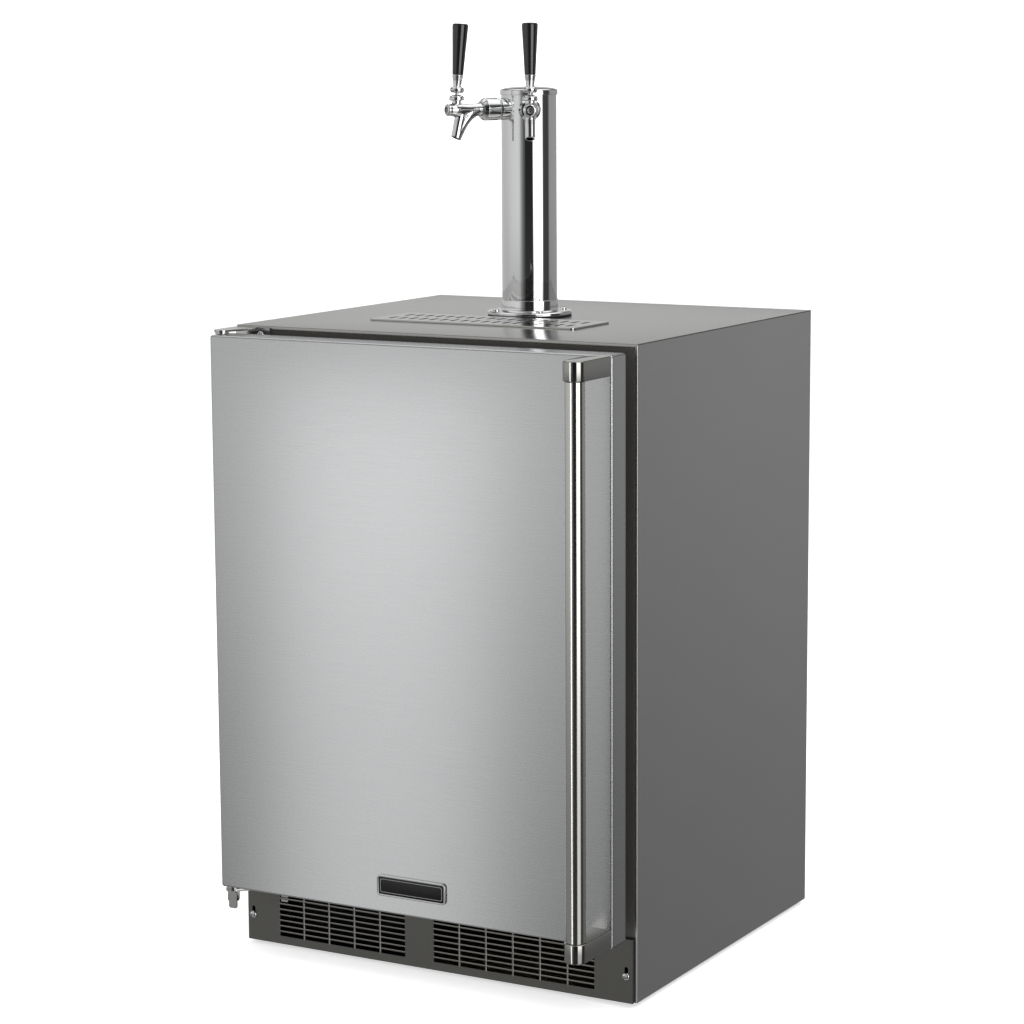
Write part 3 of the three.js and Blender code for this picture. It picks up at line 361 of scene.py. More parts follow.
def cut(base, *others):
    return boolean("DIFFERENCE", base, *others)


def blended(solid, voxel, rounds):
    """Rebuilds a solid from voxels and smooths it, so that its parts flow into each other."""
    item = to_object("scratch", solid)
    remesh = item.modifiers.new("remesh", "REMESH")
    remesh.mode = "VOXEL"
    remesh.voxel_size = voxel
    smooth = item.modifiers.new("smooth", "SMOOTH")
    smooth.factor = 0.5
    smooth.iterations = rounds
    return applied(item)


def plate(outline, holes, thickness, lift):
    """A flat sheet with holes: the face between the outlines is filled and given a thickness."""
    work = bmesh.new()
    for ring in (outline, *holes):
        corners = [work.verts.new(point) for point in lift(ring, thickness[0])]
        for i, corner in enumerate(corners):
            work.edges.new((corner, corners[(i + 1) % len(corners)]))
    bmesh.ops.triangle_fill(work, edges=work.edges[:], use_beauty=True)
    bmesh.ops.dissolve_limit(
        work, angle_limit=math.radians(1), verts=work.verts, edges=work.edges, use_dissolve_boundaries=False
    )
    raised = bmesh.ops.extrude_face_region(work, geom=work.faces[:])
    step = Vector(lift([(0, 0)], thickness[1])[0]) - Vector(lift([(0, 0)], thickness[0])[0])
    bmesh.ops.translate(
        work, vec=step, verts=[v for v in raised["geom"] if isinstance(v, bmesh.types.BMVert)]
    )
    work.verts.index_update()
    solid = ([v.co.copy() for v in work.verts], [tuple(v.index for v in f.verts) for f in work.faces])
    work.free()
    return solid


def soften_edges(item, width, angle=32):
    """Bevels the edges that are sharper than `angle` degrees."""
    edge = item.modifiers.new("edges", "BEVEL")
    edge.width = width * MM
    edge.segments = 2
    edge.limit_method = "ANGLE"
    edge.angle_limit = math.radians(angle)
    edge.harden_normals = True


def piece(name, body, material, solid, replaces=(), bevel=0.0, smooth=32):
    """Makes a visible piece, in metres, that rides on a body and stands for CAD nodes."""
    item = to_object(name, solid, MM)
    item.data.materials.append(material)
    item.data.shade_smooth()
    item.data.set_sharp_from_angle(angle=math.radians(smooth))
    if bevel:
        soften_edges(item, bevel, smooth)
    if replaces:
        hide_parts(*replaces)
    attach(item, body)
    return item


# ---------------------------------------------------------------- materials

class Shader:
    """A material's node tree with short ways to add what the finishes below share."""

    def __init__(self, name, colour, roughness, metallic=0.0):
        self.material = bpy.data.materials.new(name)
        self.material.use_nodes = True
        self.tree = self.material.node_tree
        self.base = self.tree.nodes["Principled BSDF"]
        self.colour = (*colour, 1)
        self.base.inputs["Base Color"].default_value = self.colour
        self.base.inputs["Roughness"].default_value = roughness
        self.base.inputs["Metallic"].default_value = metallic
        self.place = self.tree.nodes.new("ShaderNodeTexCoord").outputs["Object"]

    def noise(self, scale, stretch=(1, 1, 1), detail=3.0, rough=0.55):
        mapping = self.tree.nodes.new("ShaderNodeMapping")
        mapping.inputs["Scale"].default_value = stretch
        noise = self.tree.nodes.new("ShaderNodeTexNoise")
        noise.inputs["Scale"].default_value = scale
        noise.inputs["Detail"].default_value = detail
        noise.inputs["Roughness"].default_value = rough
        self.tree.links.new(self.place, mapping.inputs["Vector"])
        self.tree.links.new(mapping.outputs["Vector"], noise.inputs["Vector"])
        return noise.outputs["Fac"]

    def ranged(self, value, low, high, source=(0.3, 0.7)):
        spread = self.tree.nodes.new("ShaderNodeMapRange")
        spread.inputs["From Min"].default_value = source[0]
        spread.inputs["From Max"].default_value = source[1]
        spread.inputs["To Min"].default_value = low
        spread.inputs["To Max"].default_value = high
        self.tree.links.new(value, spread.inputs["Value"])
        return spread.outputs["Result"]

    def vary_roughness(self, value, low, high):
        self.tree.links.new(self.ranged(value, low, high), self.base.inputs["Roughness"])

    def vary_colour(self, value, amount):
        """Lightens and darkens the base colour by up to `amount` of itself."""
        mix = self.tree.nodes.new("ShaderNodeMix")
        mix.data_type = "RGBA"
        dark, light = mix.inputs[6], mix.inputs[7]
        dark.default_value = tuple(c * (1 - amount) for c in self.colour[:3]) + (1,)
        light.default_value = tuple(min(c * (1 + amount), 1) for c in self.colour[:3]) + (1,)
        self.tree.links.new(self.ranged(value, 0, 1), mix.inputs[0])
        self.tree.links.new(mix.outputs[2], self.base.inputs["Base Color"])

    def bump(self, value, strength, depth):
        bump = self.tree.nodes.new("ShaderNodeBump")
        bump.inputs["Strength"].default_value = strength
        bump.inputs["Distance"].default_value = depth
        self.tree.links.new(value, bump.inputs["Height"])
        self.tree.links.new(bump.outputs["Normal"], self.base.inputs["Normal"])


def brushed(name, colour, roughness, along, depth=1.0):
    """Steel with fine scratches that run along one axis."""
    shader = Shader(name, colour, roughness, 1.0)
    stretch = [1.0, 1.0, 1.0]
    stretch["XYZ".index(along)] = 0.015
    fine = shader.noise(1600, stretch, 3.0, 0.6)
    marks = shader.noise(420, stretch, 3.0)
    clouds = shader.noise(3.5, detail=2.0)
    shader.vary_roughness(fine, roughness - 0.015, roughness + 0.02)
    mix = shader.tree.nodes.new("ShaderNodeMath")
    mix.operation = "MULTIPLY_ADD"
    mix.inputs[1].default_value = 0.4
    shader.tree.links.new(clouds, mix.inputs[0])
    shader.tree.links.new(shader.ranged(marks, 0.15, 0.45), mix.inputs[2])
    shader.vary_colour(mix.outputs[0], 0.018)
    shader.bump(fine, 0.035 * depth, 0.00005)
    return shader.material


def polished(name, colour, roughness):
    """Plated metal: a mirror with faint haze and slight waves."""
    shader = Shader(name, colour, roughness, 1.0)
    haze = shader.noise(45, detail=4.0)
    shader.vary_roughness(haze, roughness * 0.6, roughness * 1.7)
    shader.bump(shader.noise(30, detail=1.0), 0.03, 0.0003)
    return shader.material


def moulded(name, colour, roughness, grain=500, strength=0.12, coat=0.0, metallic=0.0):
    """Plastic, rubber, enamel or paint with a fine orange-peel surface."""
    shader = Shader(name, colour, roughness, metallic)
    texture = shader.noise(grain, detail=2.0)
    shader.vary_roughness(shader.noise(40, detail=3.0), roughness * 0.85, roughness * 1.15)
    shader.vary_colour(shader.noise(8, detail=2.0), 0.06)
    shader.bump(texture, strength, 0.0002)
    shader.base.inputs["Coat Weight"].default_value = coat
    shader.base.inputs["Coat Roughness"].default_value = 0.05
    return shader.material


def foamed(name, colour):
    """Poured insulating foam: cells of uneven size under a dull skin."""
    shader = Shader(name, colour, 0.9)
    cells = shader.tree.nodes.new("ShaderNodeTexVoronoi")
    cells.inputs["Scale"].default_value = 420
    shader.tree.links.new(shader.place, cells.inputs["Vector"])
    shader.vary_colour(shader.noise(25), 0.12)
    shader.bump(cells.outputs["Distance"], 0.5, 0.0008)
    return shader.material


STEEL = (0.60, 0.605, 0.61)
DARK_STEEL = (0.225, 0.222, 0.208)
CHROME = (0.86, 0.865, 0.87)

door_steel = brushed("door_steel", STEEL, 0.27, "X", 0.5)
side_steel = brushed("side_steel", (0.64, 0.64, 0.638), 0.34, "Y", 0.5)
top_steel = brushed("top_steel", (0.44, 0.435, 0.418), 0.18, "X", 0.6)
# Nearly black: painted shade for the dark inside the tray under the drip grille, not the tray steel's own
# colour.
tray_steel = brushed("tray_steel", (0.05, 0.05, 0.048), 0.5, "X", 0.6)
grille_steel = brushed("grille_steel", (0.60, 0.594, 0.572), 0.15, "X", 0.5)
louvre_steel = brushed("louvre_steel", (0.42, 0.41, 0.385), 0.30, "X", 0.5)
hinge_steel = brushed("hinge_steel", (0.66, 0.655, 0.64), 0.17, "X", 0.5)
dark_sheet = brushed("dark_sheet", DARK_STEEL, 0.38, "X", 0.5)
back_sheet = moulded("back_sheet", (0.33, 0.335, 0.34), 0.42, 260, 0.2, metallic=0.9)
satin_steel = brushed("satin_steel", (0.66, 0.65, 0.62), 0.14, "Z", 0.5)
plate_steel = brushed("plate_steel", (0.62, 0.62, 0.61), 0.26, "X", 0.6)
chrome = polished("chrome", CHROME, 0.035)
# Chrome darkened to about half its own brightness: painted shade on the handle brackets.
bracket_chrome = polished("bracket_chrome", (0.42, 0.415, 0.395), 0.05)
aluminium = brushed("aluminium", (0.78, 0.79, 0.80), 0.38, "Z", 0.8)
# Condenser fins and copper pipes are darkened far below their own metal colour: painted shade for the dark
# space behind the kickplate louvres.
shaded_fins = brushed("shaded_fins", (0.10, 0.10, 0.10), 0.5, "Z", 0.8)
copper = polished("copper", (0.16, 0.09, 0.06), 0.35)
black_trim = moulded("black_trim", (0.016, 0.016, 0.017), 0.42, 700, 0.25)
gloss_black = moulded("gloss_black", (0.008, 0.008, 0.009), 0.10, 120, 0.02, 0.6)
badge_black = moulded("badge_black", (0.004, 0.004, 0.004), 0.30, 300, 0.02)
black_rubber = moulded("black_rubber", (0.020, 0.020, 0.021), 0.62, 900, 0.35)
gasket_grey = moulded("gasket_grey", (0.075, 0.073, 0.068), 0.50, 900, 0.25)
face_trim = moulded("face_trim", (0.055, 0.053, 0.050), 0.38, 700, 0.2)
inner_trim = moulded("inner_trim", (0.030, 0.031, 0.033), 0.40, 520, 0.2)
liner_plastic = moulded("liner_plastic", (0.74, 0.755, 0.76), 0.34, 380, 0.10, 0.2)
liner_mark = moulded("liner_mark", (0.05, 0.055, 0.06), 0.5)
black_enamel = moulded("black_enamel", (0.012, 0.012, 0.013), 0.22, 160, 0.18, 0.4)
foam = foamed("foam", (0.78, 0.68, 0.38))


def dress_cad_node(node, material, bevel=0.0):
    """A CAD node that is shown as it is, with a better finish and softened edges."""
    item = frame["nodes"][node]
    item.data.materials.clear()
    item.data.materials.append(material)
    if bevel:
        soften_edges(item, bevel)


# ---------------------------------------------------------------- fasteners

def pan_head(radius, height):
    """A screw head with a cross recess, standing on z = 0."""
    dome = [(0, -0.2), (radius, -0.2), (radius, height * 0.35)]
    dome += [(radius * math.cos(a), height * (0.35 + 0.65 * math.sin(a)))
             for a in (math.radians(15 * step) for step in range(1, 6))]
    head = lathe(softened([*dome, (0, height)], 0.2), 32)
    arm = radius * 0.52
    width = radius * 0.13
    deep = (height * 0.35, height + 1)
    cross = [block((-arm, arm), (-width, width), deep), block((-width, width), (-arm, arm), deep)]
    return cut(head, *cross)


# ---------------------------------------------------------------- cabinet shell

def side_panel(label):
    """Folded sheet: a narrow hem at the front, mitred at the top, and a deeper return at the rear."""
    sign = SIDES[label]
    rear = SIDE_HIGH.y
    outline = [
        (HALF - SIDE_HEM, FRONT), (HALF, FRONT), (HALF, rear), (HALF - REAR_RETURN, rear),
        (HALF - REAR_RETURN, rear - SHEET), (HALF - SHEET, rear - SHEET),
        (HALF - SHEET, FRONT + SHEET), (HALF - SIDE_HEM, FRONT + SHEET),
    ]
    outline = softened(outline, 0.9, 3, closed=True)
    top = TOP_HIGH.z - SHEET - GAP

    def top_ring():
        ring = []
        for x, y in outline:
            on_hem = y < FRONT + SHEET * 1.5
            ring.append((sign * x, y, top - max(HALF - x - SHEET * 0.3, 0) * on_hem))
        return ring

    solid = loft([[(sign * x, y, SIDE_LOW.z) for x, y in outline], top_ring()])
    piece(f"side_{label}", "cabinet", side_steel, solid, [f"side_panel_{label}"])


def top_panel():
    """Folded sheet with an opening for the drip tray and a hole for the beer lines."""
    outline = [
        (FRONT, TOP_HIGH.z - TOP_RETURN), (FRONT, TOP_HIGH.z), (TOP_HIGH.y, TOP_HIGH.z),
        (TOP_HIGH.y, TOP_HIGH.z - SHEET), (FRONT + SHEET, TOP_HIGH.z - SHEET),
        (FRONT + SHEET, TOP_HIGH.z - TOP_RETURN),
    ]
    outline = softened(outline, 1.0, 4, closed=True)

    def end(sign):
        ring = []
        for y, z in outline:
            below = max(TOP_HIGH.z - SHEET - z, 0)
            ring.append((sign * (HALF - (GAP + below if below else 0)), y, z))
        return ring

    sheet = loft([end(-1), end(1)])
    through = (TOP_HIGH.z - 3, TOP_HIGH.z + 1)
    well = block((TRAY_LOW.x - GAP, TRAY_HIGH.x + GAP), (TRAY_LOW.y - GAP, TRAY_HIGH.y + GAP), through)
    hole = shifted(rod(TOWER_HOLE, through, 64), TOWER_X, TOWER_Y)
    piece("top", "cabinet", top_steel, cut(sheet, well, hole), ["top_panel"], smooth=25)


def drip_tray():
    """Pressed tray that hangs in the top panel's opening."""
    x, y = (TRAY_LOW.x, TRAY_HIGH.x), (TRAY_LOW.y, TRAY_HIGH.y)
    floor, rim = TRAY_LOW.z, TRAY_HIGH.z
    corner, bend = 6, 2

    def ring(inset, z):
        return on_z(inset_rect(x, y, inset, corner - inset), z)

    inside = [ring(SHEET + bend, floor + SHEET), ring(SHEET, floor + SHEET + bend), ring(SHEET, rim)]
    outside = [ring(0, rim), ring(0, floor + bend), ring(bend, floor)]
    # The tray's nearly black steel is painted shade under the grille.
    piece("tray", "cabinet", tray_steel, loft([*inside, *outside]), ["drip_tray"])


VENT_PITCH = (150, 18)
VENT_ROWS = 7
VENT_FOOT = 60  # from the side panels' lower edge to the lowest vent
VENT_HALF = 50
VENT_HEIGHT = 6
INLET_RADIUS = 10
BACK_SCREW_X = 290
BACK_SCREW_ROWS = (60, 150, 6)  # first height, pitch and count


def vent_hood(middle, low, wall):
    """A small roof pressed out over a vent."""
    profile = [
        (wall - 0.3, low + 7), (wall + 4.5, low + 1.5), (wall + 4.5, low + 0.5),
        (wall + 3.7, low + 0.9), (wall - 0.3, low + 5.8),
    ]
    profile = softened(profile, 0.5, 3, closed=True)
    return loft([on_x(profile, middle - VENT_HALF), on_x(profile, middle + VENT_HALF)])


def back_panel():
    """Rear sheet with rows of pressed vents, turned edges and a row of screws on each side."""
    x, z = (BACK_LOW.x, BACK_HIGH.x), (BACK_LOW.z, BACK_HIGH.z)
    wall = BACK_LOW.y + SHEET
    spots = [
        (column * VENT_PITCH[0], SIDE_LOW.z + VENT_FOOT + row * VENT_PITCH[1])
        for column in (-1, 0, 1) for row in range(VENT_ROWS)
    ]
    holes = [
        rounded_rect((middle - VENT_HALF, middle + VENT_HALF), (low, low + VENT_HEIGHT), 2.9, 5)
        for middle, low in spots
    ]
    inlet_low, inlet_high = extent("power_inlet")
    inlet = (inlet_low + inlet_high) / 2
    holes.append(arc((inlet.x, inlet.z), INLET_RADIUS, 0, 345, 23))
    outline = [(x[0], z[0]), (x[1], z[0]), (x[1], z[1]), (x[0], z[1])]
    sheet = plate(outline, holes, (BACK_LOW.y, wall), on_y)
    flanges = [block((side, side + SHEET), (wall, BACK_HIGH.y), z) for side in (x[0], x[1] - SHEET)]
    hoods = [vent_hood(middle, low, wall) for middle, low in spots]
    first, pitch, count = BACK_SCREW_ROWS
    screws = []
    for sign in SIDES.values():
        for row in range(count):
            head = rotated(pan_head(4, 2.2), -90, "X")
            screws.append(shifted(head, sign * BACK_SCREW_X, wall, first + row * pitch))
    solid = together(sheet, *flanges, *hoods)
    piece("back", "cabinet", back_sheet, solid, ["back_panel"], 0.25)
    piece("back_screws", "cabinet", chrome, together(*screws))


def face_frame():
    """Black ring round the opening, which the gasket closes on."""
    outer = rounded_rect((FACE_LOW.x, FACE_HIGH.x), (FACE_LOW.z, FACE_HIGH.z), 2)
    inner = rounded_rect(CAVITY_X, CAVITY_Z, CAVITY_CORNER)
    front, back = FACE_LOW.y, FACE_HIGH.y
    rings = [on_y(outer, back), on_y(outer, front), on_y(inner, front), on_y(inner, back)]
    piece("face_ring", "cabinet", face_trim, loft(rings, loop=True), ["face_frame"], 0.3)


def cavity(grow, front):
    """The keg space grown by a wall: round corners, soft rear edges and a step over the compressor."""
    rear = LINER_HIGH.y - LINER_WALL + grow
    x = (CAVITY_X[0] - grow, CAVITY_X[1] + grow)
    z = (CAVITY_Z[0] - grow, CAVITY_Z[1] + grow)
    corner, soft, past = CAVITY_CORNER + grow, 12, 5
    rings = [on_y(rounded_rect(x, z, corner, 12), front)]
    for step in range(7):
        angle = math.radians(15 * step)
        inset = soft * (1 - math.cos(angle))
        rings.append(on_y(inset_rect(x, z, inset, corner - inset, 12), rear - soft + soft * math.sin(angle)))
    step_front = FRONT + STEP_DEPTH + grow
    step_top = SIDE_LOW.z + STEP_HEIGHT - grow
    profile = [
        (step_front, z[0] - past), *arc((step_front + soft, step_top - soft), soft, 180, 90, 8),
        (rear + past, step_top), (rear + past, z[0] - past),
    ]
    return cut(loft(rings), prism(profile, (x[0] - past, x[1] + past), on_x))


def liner():
    """Moulded plastic wall of the keg space."""
    hole = shifted(rod(TOWER_HOLE, (LINER_HIGH.z - 12, LINER_HIGH.z + 5), 64), TOWER_X, TOWER_Y)
    solid = cut(cavity(LINER_WALL, LINER_LOW.y), cavity(0, LINER_LOW.y - 1), hole)
    piece("inner_liner", "cabinet", liner_plastic, solid, ["liner"], smooth=30)


# ---------------------------------------------------------------- front grille

LOUVRE_PITCH = (41.0, 7.85)
LOUVRE_RIB = 2.6
LOUVRE_OPEN = 5.4
LOUVRE_ROWS = 9
LOUVRE_GROUPS = ((-247.0, 5), (0.4, 6))  # left end and number of columns
LOUVRE_FOOT = 11.5
KICK_SCREW = (290.5, 42.3)
KEYHOLE_HALF = 2.6
KEYHOLE_RISE = 12
KICK_NOTCH = (-231.0, 4.4)  # where the top edge steps down, and by how much


def kickplate():
    """Folded plate with two fields of slots, a slanted blade between slots, and a keyhole at each end."""
    front, back = KICK_LOW.y, KICK_HIGH.y
    bottom, top = KICK_LOW.z, KICK_HIGH.z
    x = (KICK_LOW.x, KICK_HIGH.x)
    notch = (KICK_NOTCH[0], top - KICK_NOTCH[1])
    first = bottom + LOUVRE_FOOT
    fields = []
    for start, columns in LOUVRE_GROUPS:
        end = start + columns * LOUVRE_PITCH[0] - LOUVRE_RIB
        last = first + (LOUVRE_ROWS - 1) * LOUVRE_PITCH[1] + LOUVRE_OPEN
        fields.append(((start, end), (first, last), columns))
    outline = [(x[0], bottom), (x[1], bottom), (x[1], top), (notch[0], top), notch, (x[0], notch[1])]
    holes = [rounded_rect(field[0], field[1], 0.8, 3) for field in fields]
    for sign in SIDES.values():
        middle = sign * KICK_SCREW[0]
        z = (KICK_SCREW[1] - KEYHOLE_HALF, KICK_SCREW[1] + KEYHOLE_RISE)
        holes.append(rounded_rect((middle - KEYHOLE_HALF, middle + KEYHOLE_HALF), z, 2.5, 6))
    sheet = plate(outline, holes, (front, front + SHEET), on_y)
    flanges = [
        block((notch[0], x[1]), (front + SHEET, back), (top - SHEET, top)),
        block(x, (front + SHEET, back), (bottom, bottom + SHEET)),
        block((x[0], x[0] + SHEET), (front + SHEET, back), (bottom + SHEET, notch[1])),
        block((x[1] - SHEET, x[1]), (front + SHEET, back), (bottom + SHEET, top - SHEET)),
    ]
    piece("kick_sheet", "cabinet", dark_sheet, together(sheet, *flanges), ["kickplate"], 0.35)
    bars = [bar for field in fields for bar in louvre_bars(field, front)]
    piece("kick_louvres", "cabinet", louvre_steel, together(*bars), smooth=40)


def louvre_bars(field, front):
    """Upright ribs with round fronts, and thin blades that lean back between them."""
    (left, right), (low, high), columns = field
    thick = LOUVRE_PITCH[1] - LOUVRE_OPEN
    half = LOUVRE_RIB / 2
    past = 0.5
    bars = []
    for row in range(LOUVRE_ROWS - 1):
        z = low + row * LOUVRE_PITCH[1] + LOUVRE_OPEN
        profile = [(front + 0.1, z + thick), (front - 0.1, z + thick * 0.6), (front + 0.2, z + 0.2),
                   (front + 2.9, z - 1.1), (front + 3.1, z - 0.2), (front + 1.2, z + thick * 0.75)]
        profile = softened(profile, 0.5, 3, closed=True)
        bars.append(loft([on_x(profile, left - past), on_x(profile, right + past)]))
    for column in range(1, columns):
        middle = left + column * LOUVRE_PITCH[0] - half
        profile = [(middle - half, front + 2.4), *arc((middle, front + 0.55), half * 0.98, 200, 340, 8),
                   (middle + half, front + 2.4)]
        bars.append(loft([on_z(profile, low - past), on_z(profile, high + past)]))
    return bars


def kick_screws():
    for label, sign in SIDES.items():
        head = forward(pan_head(5, 3.1))
        shaft = forward(rod(2, (-14, 0.1), 16))
        solid = shifted(together(head, shaft), sign * KICK_SCREW[0], KICK_LOW.y - GAP, KICK_SCREW[1])
        piece(f"kick_screw_{label}", "cabinet", chrome, solid, [f"kickplate_screw_{label}"])


# ---------------------------------------------------------------- door

def slab(x, z, corner, y, soft, steps=6):
    """Rings of a door-like slab: square at the rear edge y[1], soft round the front edge y[0]."""
    rings = [on_y(rounded_rect(x, z, corner), y[1])]
    for step in range(steps + 1):
        angle = math.radians(90 * step / steps)
        inset = soft * (1 - math.cos(angle))
        outline = inset_rect(x, z, inset, max(corner - inset, 0.5))
        rings.append(on_y(outline, y[0] + soft - soft * math.sin(angle)))
    return rings


PIN_RADIUS = 4
PIN_SOCKET = (5, 16)  # radius and depth of the holes that take the hinge pins


def door_skin():
    """Folded steel front with round edges and a hole at each end for its hinge pin."""
    x, z = (DOOR_LOW.x, DOOR_HIGH.x), (DOOR_LOW.z, DOOR_HIGH.z)
    outer = slab(x, z, 4, (DOOR_LOW.y, DOOR_HIGH.y), 3.0, 8)
    inner_x, inner_z = (x[0] + SHEET, x[1] - SHEET), (z[0] + SHEET, z[1] - SHEET)
    inner = slab(inner_x, inner_z, 3, (DOOR_LOW.y + SHEET, DOOR_HIGH.y), 1.8, 8)
    shell = loft([*reversed(inner), *outer])
    radius, deep = PIN_SOCKET
    sockets = [shifted(rod(radius, (end - deep, end + deep), 32), HINGE.x, HINGE.y) for end in z]
    piece("door_shell", "door", door_steel, cut(shell, *sockets), ["door_skin"], smooth=25)


def door_liner():
    """Moulded inner face: a flange, a raised frame with drafted walls and a sunk field."""
    x, z = (DOOR_LINER_LOW.x, DOOR_LINER_HIGH.x), (DOOR_LINER_LOW.z, DOOR_LINER_HIGH.z)
    back, front = DOOR_LINER_LOW.y, DOOR_LINER_HIGH.y
    face = back + 2.8
    pan_x = (x[0] + 53.3, x[1] - 53.3)
    pan_z = (z[0] + 54.6, z[1] - 59.2)

    def inset(amount, corner, y):
        return on_y(inset_rect(pan_x, pan_z, amount, corner, 10), y)

    rings = [
        on_y(rounded_rect(x, z, 3.6, 10), back), on_y(rounded_rect(x, z, 3.6, 10), face - 0.8),
        on_y(inset_rect(x, z, 0.8, 3, 10), face),
        inset(-1.5, 21, face), inset(0, 20, face + 0.6), inset(0.4, 20, face + 2),
        inset(1.6, 19, front - 3), inset(2.6, 18, front - 0.8), inset(4.4, 17, front),
        inset(12.6, 14, front), inset(14.4, 13, front - 0.8), inset(15.2, 12.6, front - 3),
        inset(16, 12, back + 8), inset(17.4, 11, back + 6.4), inset(20, 9, back + 5.8),
    ]
    piece("door_inner_panel", "door", inner_trim, loft(rings), ["door_liner"], smooth=50)


def door_gasket():
    """Magnetic seal: a foot in the door, thin bellows and a flat crown that meets the cabinet."""
    back, front = GASKET_LOW.y, GASKET_HIGH.y
    x, z = (GASKET_LOW.x, GASKET_HIGH.x), (GASKET_LOW.z, GASKET_HIGH.z)
    width = 22
    profile = [
        (0, back), (0, back + 6), (1.6, back + 9), (0.4, back + 13), (1.8, back + 16), (0, back + 18.5),
        (0, front), (width, front), (width, back + 19), (width - 7, back + 17.6), (width - 7.6, back + 15),
        (width - 6.6, back + 12), (width - 7.6, back + 9), (width, back + 7), (width, back),
    ]
    profile = softened(profile, 1.1, 3, closed=True)
    rings = [on_y(inset_rect(x, z, inset, max(9 - inset * 0.15, 5)), y) for inset, y in profile]
    seal = loft(rings, loop=True)
    piece("door_seal", "door", gasket_grey, seal, ["door_gasket"], smooth=50)


def handle():
    """Satin bar between two polished brackets."""
    x = (BAR_LOW.x + BAR_HIGH.x) / 2
    y = (BAR_LOW.y + BAR_HIGH.y) / 2
    radius = (BAR_HIGH.x - BAR_LOW.x) / 2
    bar = shifted(rod(radius, (BAR_LOW.z, BAR_HIGH.z), 96, 0.8), x, y)
    piece("handle_rail", "door", satin_steel, bar, ["handle_bar"])
    for label in ("upper", "lower"):
        low, high = extent(f"handle_bracket_{label}")
        half = (high.x - low.x) / 2
        nose = arc((x, y), half, 180, 360, 40)
        outline = [*nose, (high.x, high.y), (low.x, high.y)]
        rings = bracket_rings(outline, (x, y), (low.z, high.z), 1.3)
        name = f"handle_bracket_{label}"
        piece(f"{name}_block", "door", bracket_chrome, loft(rings), [name], smooth=30)


def bracket_rings(outline, middle, z, soft, steps=4):
    """Rings of an upright block whose top and bottom edges are rounded over."""
    angles = [math.radians(90 * step / steps) for step in range(steps + 1)]
    levels = [(soft * (1 - math.sin(angle)), z[0] + soft * (1 - math.cos(angle))) for angle in angles]
    levels += [(soft * (1 - math.cos(angle)), z[1] - soft * (1 - math.sin(angle))) for angle in angles]
    return [on_z(shrunk(outline, middle, inset), height) for inset, height in levels]


def shrunk(outline, middle, inset):
    """The outline of a nose and a shank, drawn in by `inset` on its sides and front."""
    half = max(abs(point[0] - middle[0]) for point in outline)
    result = []
    for x, y in outline:
        if y <= middle[1]:
            scale = (half - inset) / half
            result.append((middle[0] + (x - middle[0]) * scale, middle[1] + (y - middle[1]) * scale))
        else:
            result.append((middle[0] + math.copysign(half - inset, x - middle[0]), y))
    return result


def badge():
    """A plain nameplate: a chrome rim round a blank black field."""
    x, z = (BADGE_LOW.x, BADGE_HIGH.x), (BADGE_LOW.z, BADGE_HIGH.z)
    front = BADGE_LOW.y

    def ring(inset, depth):
        return on_y(inset_rect(x, z, inset, max(5 - inset, 2.4)), front + depth)

    half, rise = 1.25, 0.9
    crown = [ring(half - half * math.cos(a), rise - rise * math.sin(a))
             for a in (math.radians(15 * step) for step in range(13))]
    rim = loft([on_y(rounded_rect(x, z, 5), BADGE_HIGH.y), *crown, ring(2 * half, 2.4)])
    field = loft([ring(2.6, 2.3), ring(2.6, 1.3), ring(2.9, 1.1)])
    line = [ring(5.0, 1.15), ring(5.0, 0.85), ring(5.7, 0.85), ring(5.7, 1.15)]
    piece("badge_rim", "door", chrome, rim, ["badge_plate"], smooth=40)
    piece("badge_field", "door", badge_black, field)
    piece("badge_line", "door", chrome, loft(line, loop=True), bevel=0.1)


# ---------------------------------------------------------------- hinge plates

HINGE_NOSE = 10.5  # radius of an arm's end
UPPER_ARM = (33, 3)  # width and thickness
LOWER_ARM = (68, 82, 86)  # width, and lower and upper face above the side panels' edge
WASHER_RADIUS = 9
WASHER_PLAY = 0.7  # between a washer and the door
UPPER_SCREW = (-262, 844)  # across, and above the side panels' edge
LOWER_NUT = (68, 83, 9)  # lower and upper end, and radius to its corners
STOP_TAB_X = (-293, -280)
STOP_TAB_Z = (60, 84)
STOP_TAB_Y = (62, 59.5)  # in front of the cabinet


def hinge_arm(width, z):
    """Plate that leaves the cabinet with its full width and ends round the pin."""
    left = -HALF + 0.5
    near = FRONT - 0.5
    outline = [
        (left, near), (left, HINGE.y), *arc((HINGE.x, HINGE.y), HINGE_NOSE, 180, 330, 20),
        (left + width, near - 4.5), (left + width, near),
    ]
    return loft(softened_rings(outline, z, 0.5))


def hinge_pin(z):
    return shifted(rod(PIN_RADIUS, z, 32, 0.5), HINGE.x, HINGE.y)


def hinge_washer(low, high):
    return shifted(rod(WASHER_RADIUS, (low, high), 48, 0.4), HINGE.x, HINGE.y)


def softened_rings(outline, z, soft):
    """Rings of a flat plate whose upper and lower edges are broken by a small chamfer."""
    middle = sum((Vector(point) for point in outline), Vector((0, 0))) / len(outline)

    def inward(amount):
        return [tuple(Vector(p) + (middle - Vector(p)).normalized() * amount) for p in outline]

    return [
        on_z(inward(soft), z[0]), on_z(outline, z[0] + soft),
        on_z(outline, z[1] - soft), on_z(inward(soft), z[1]),
    ]


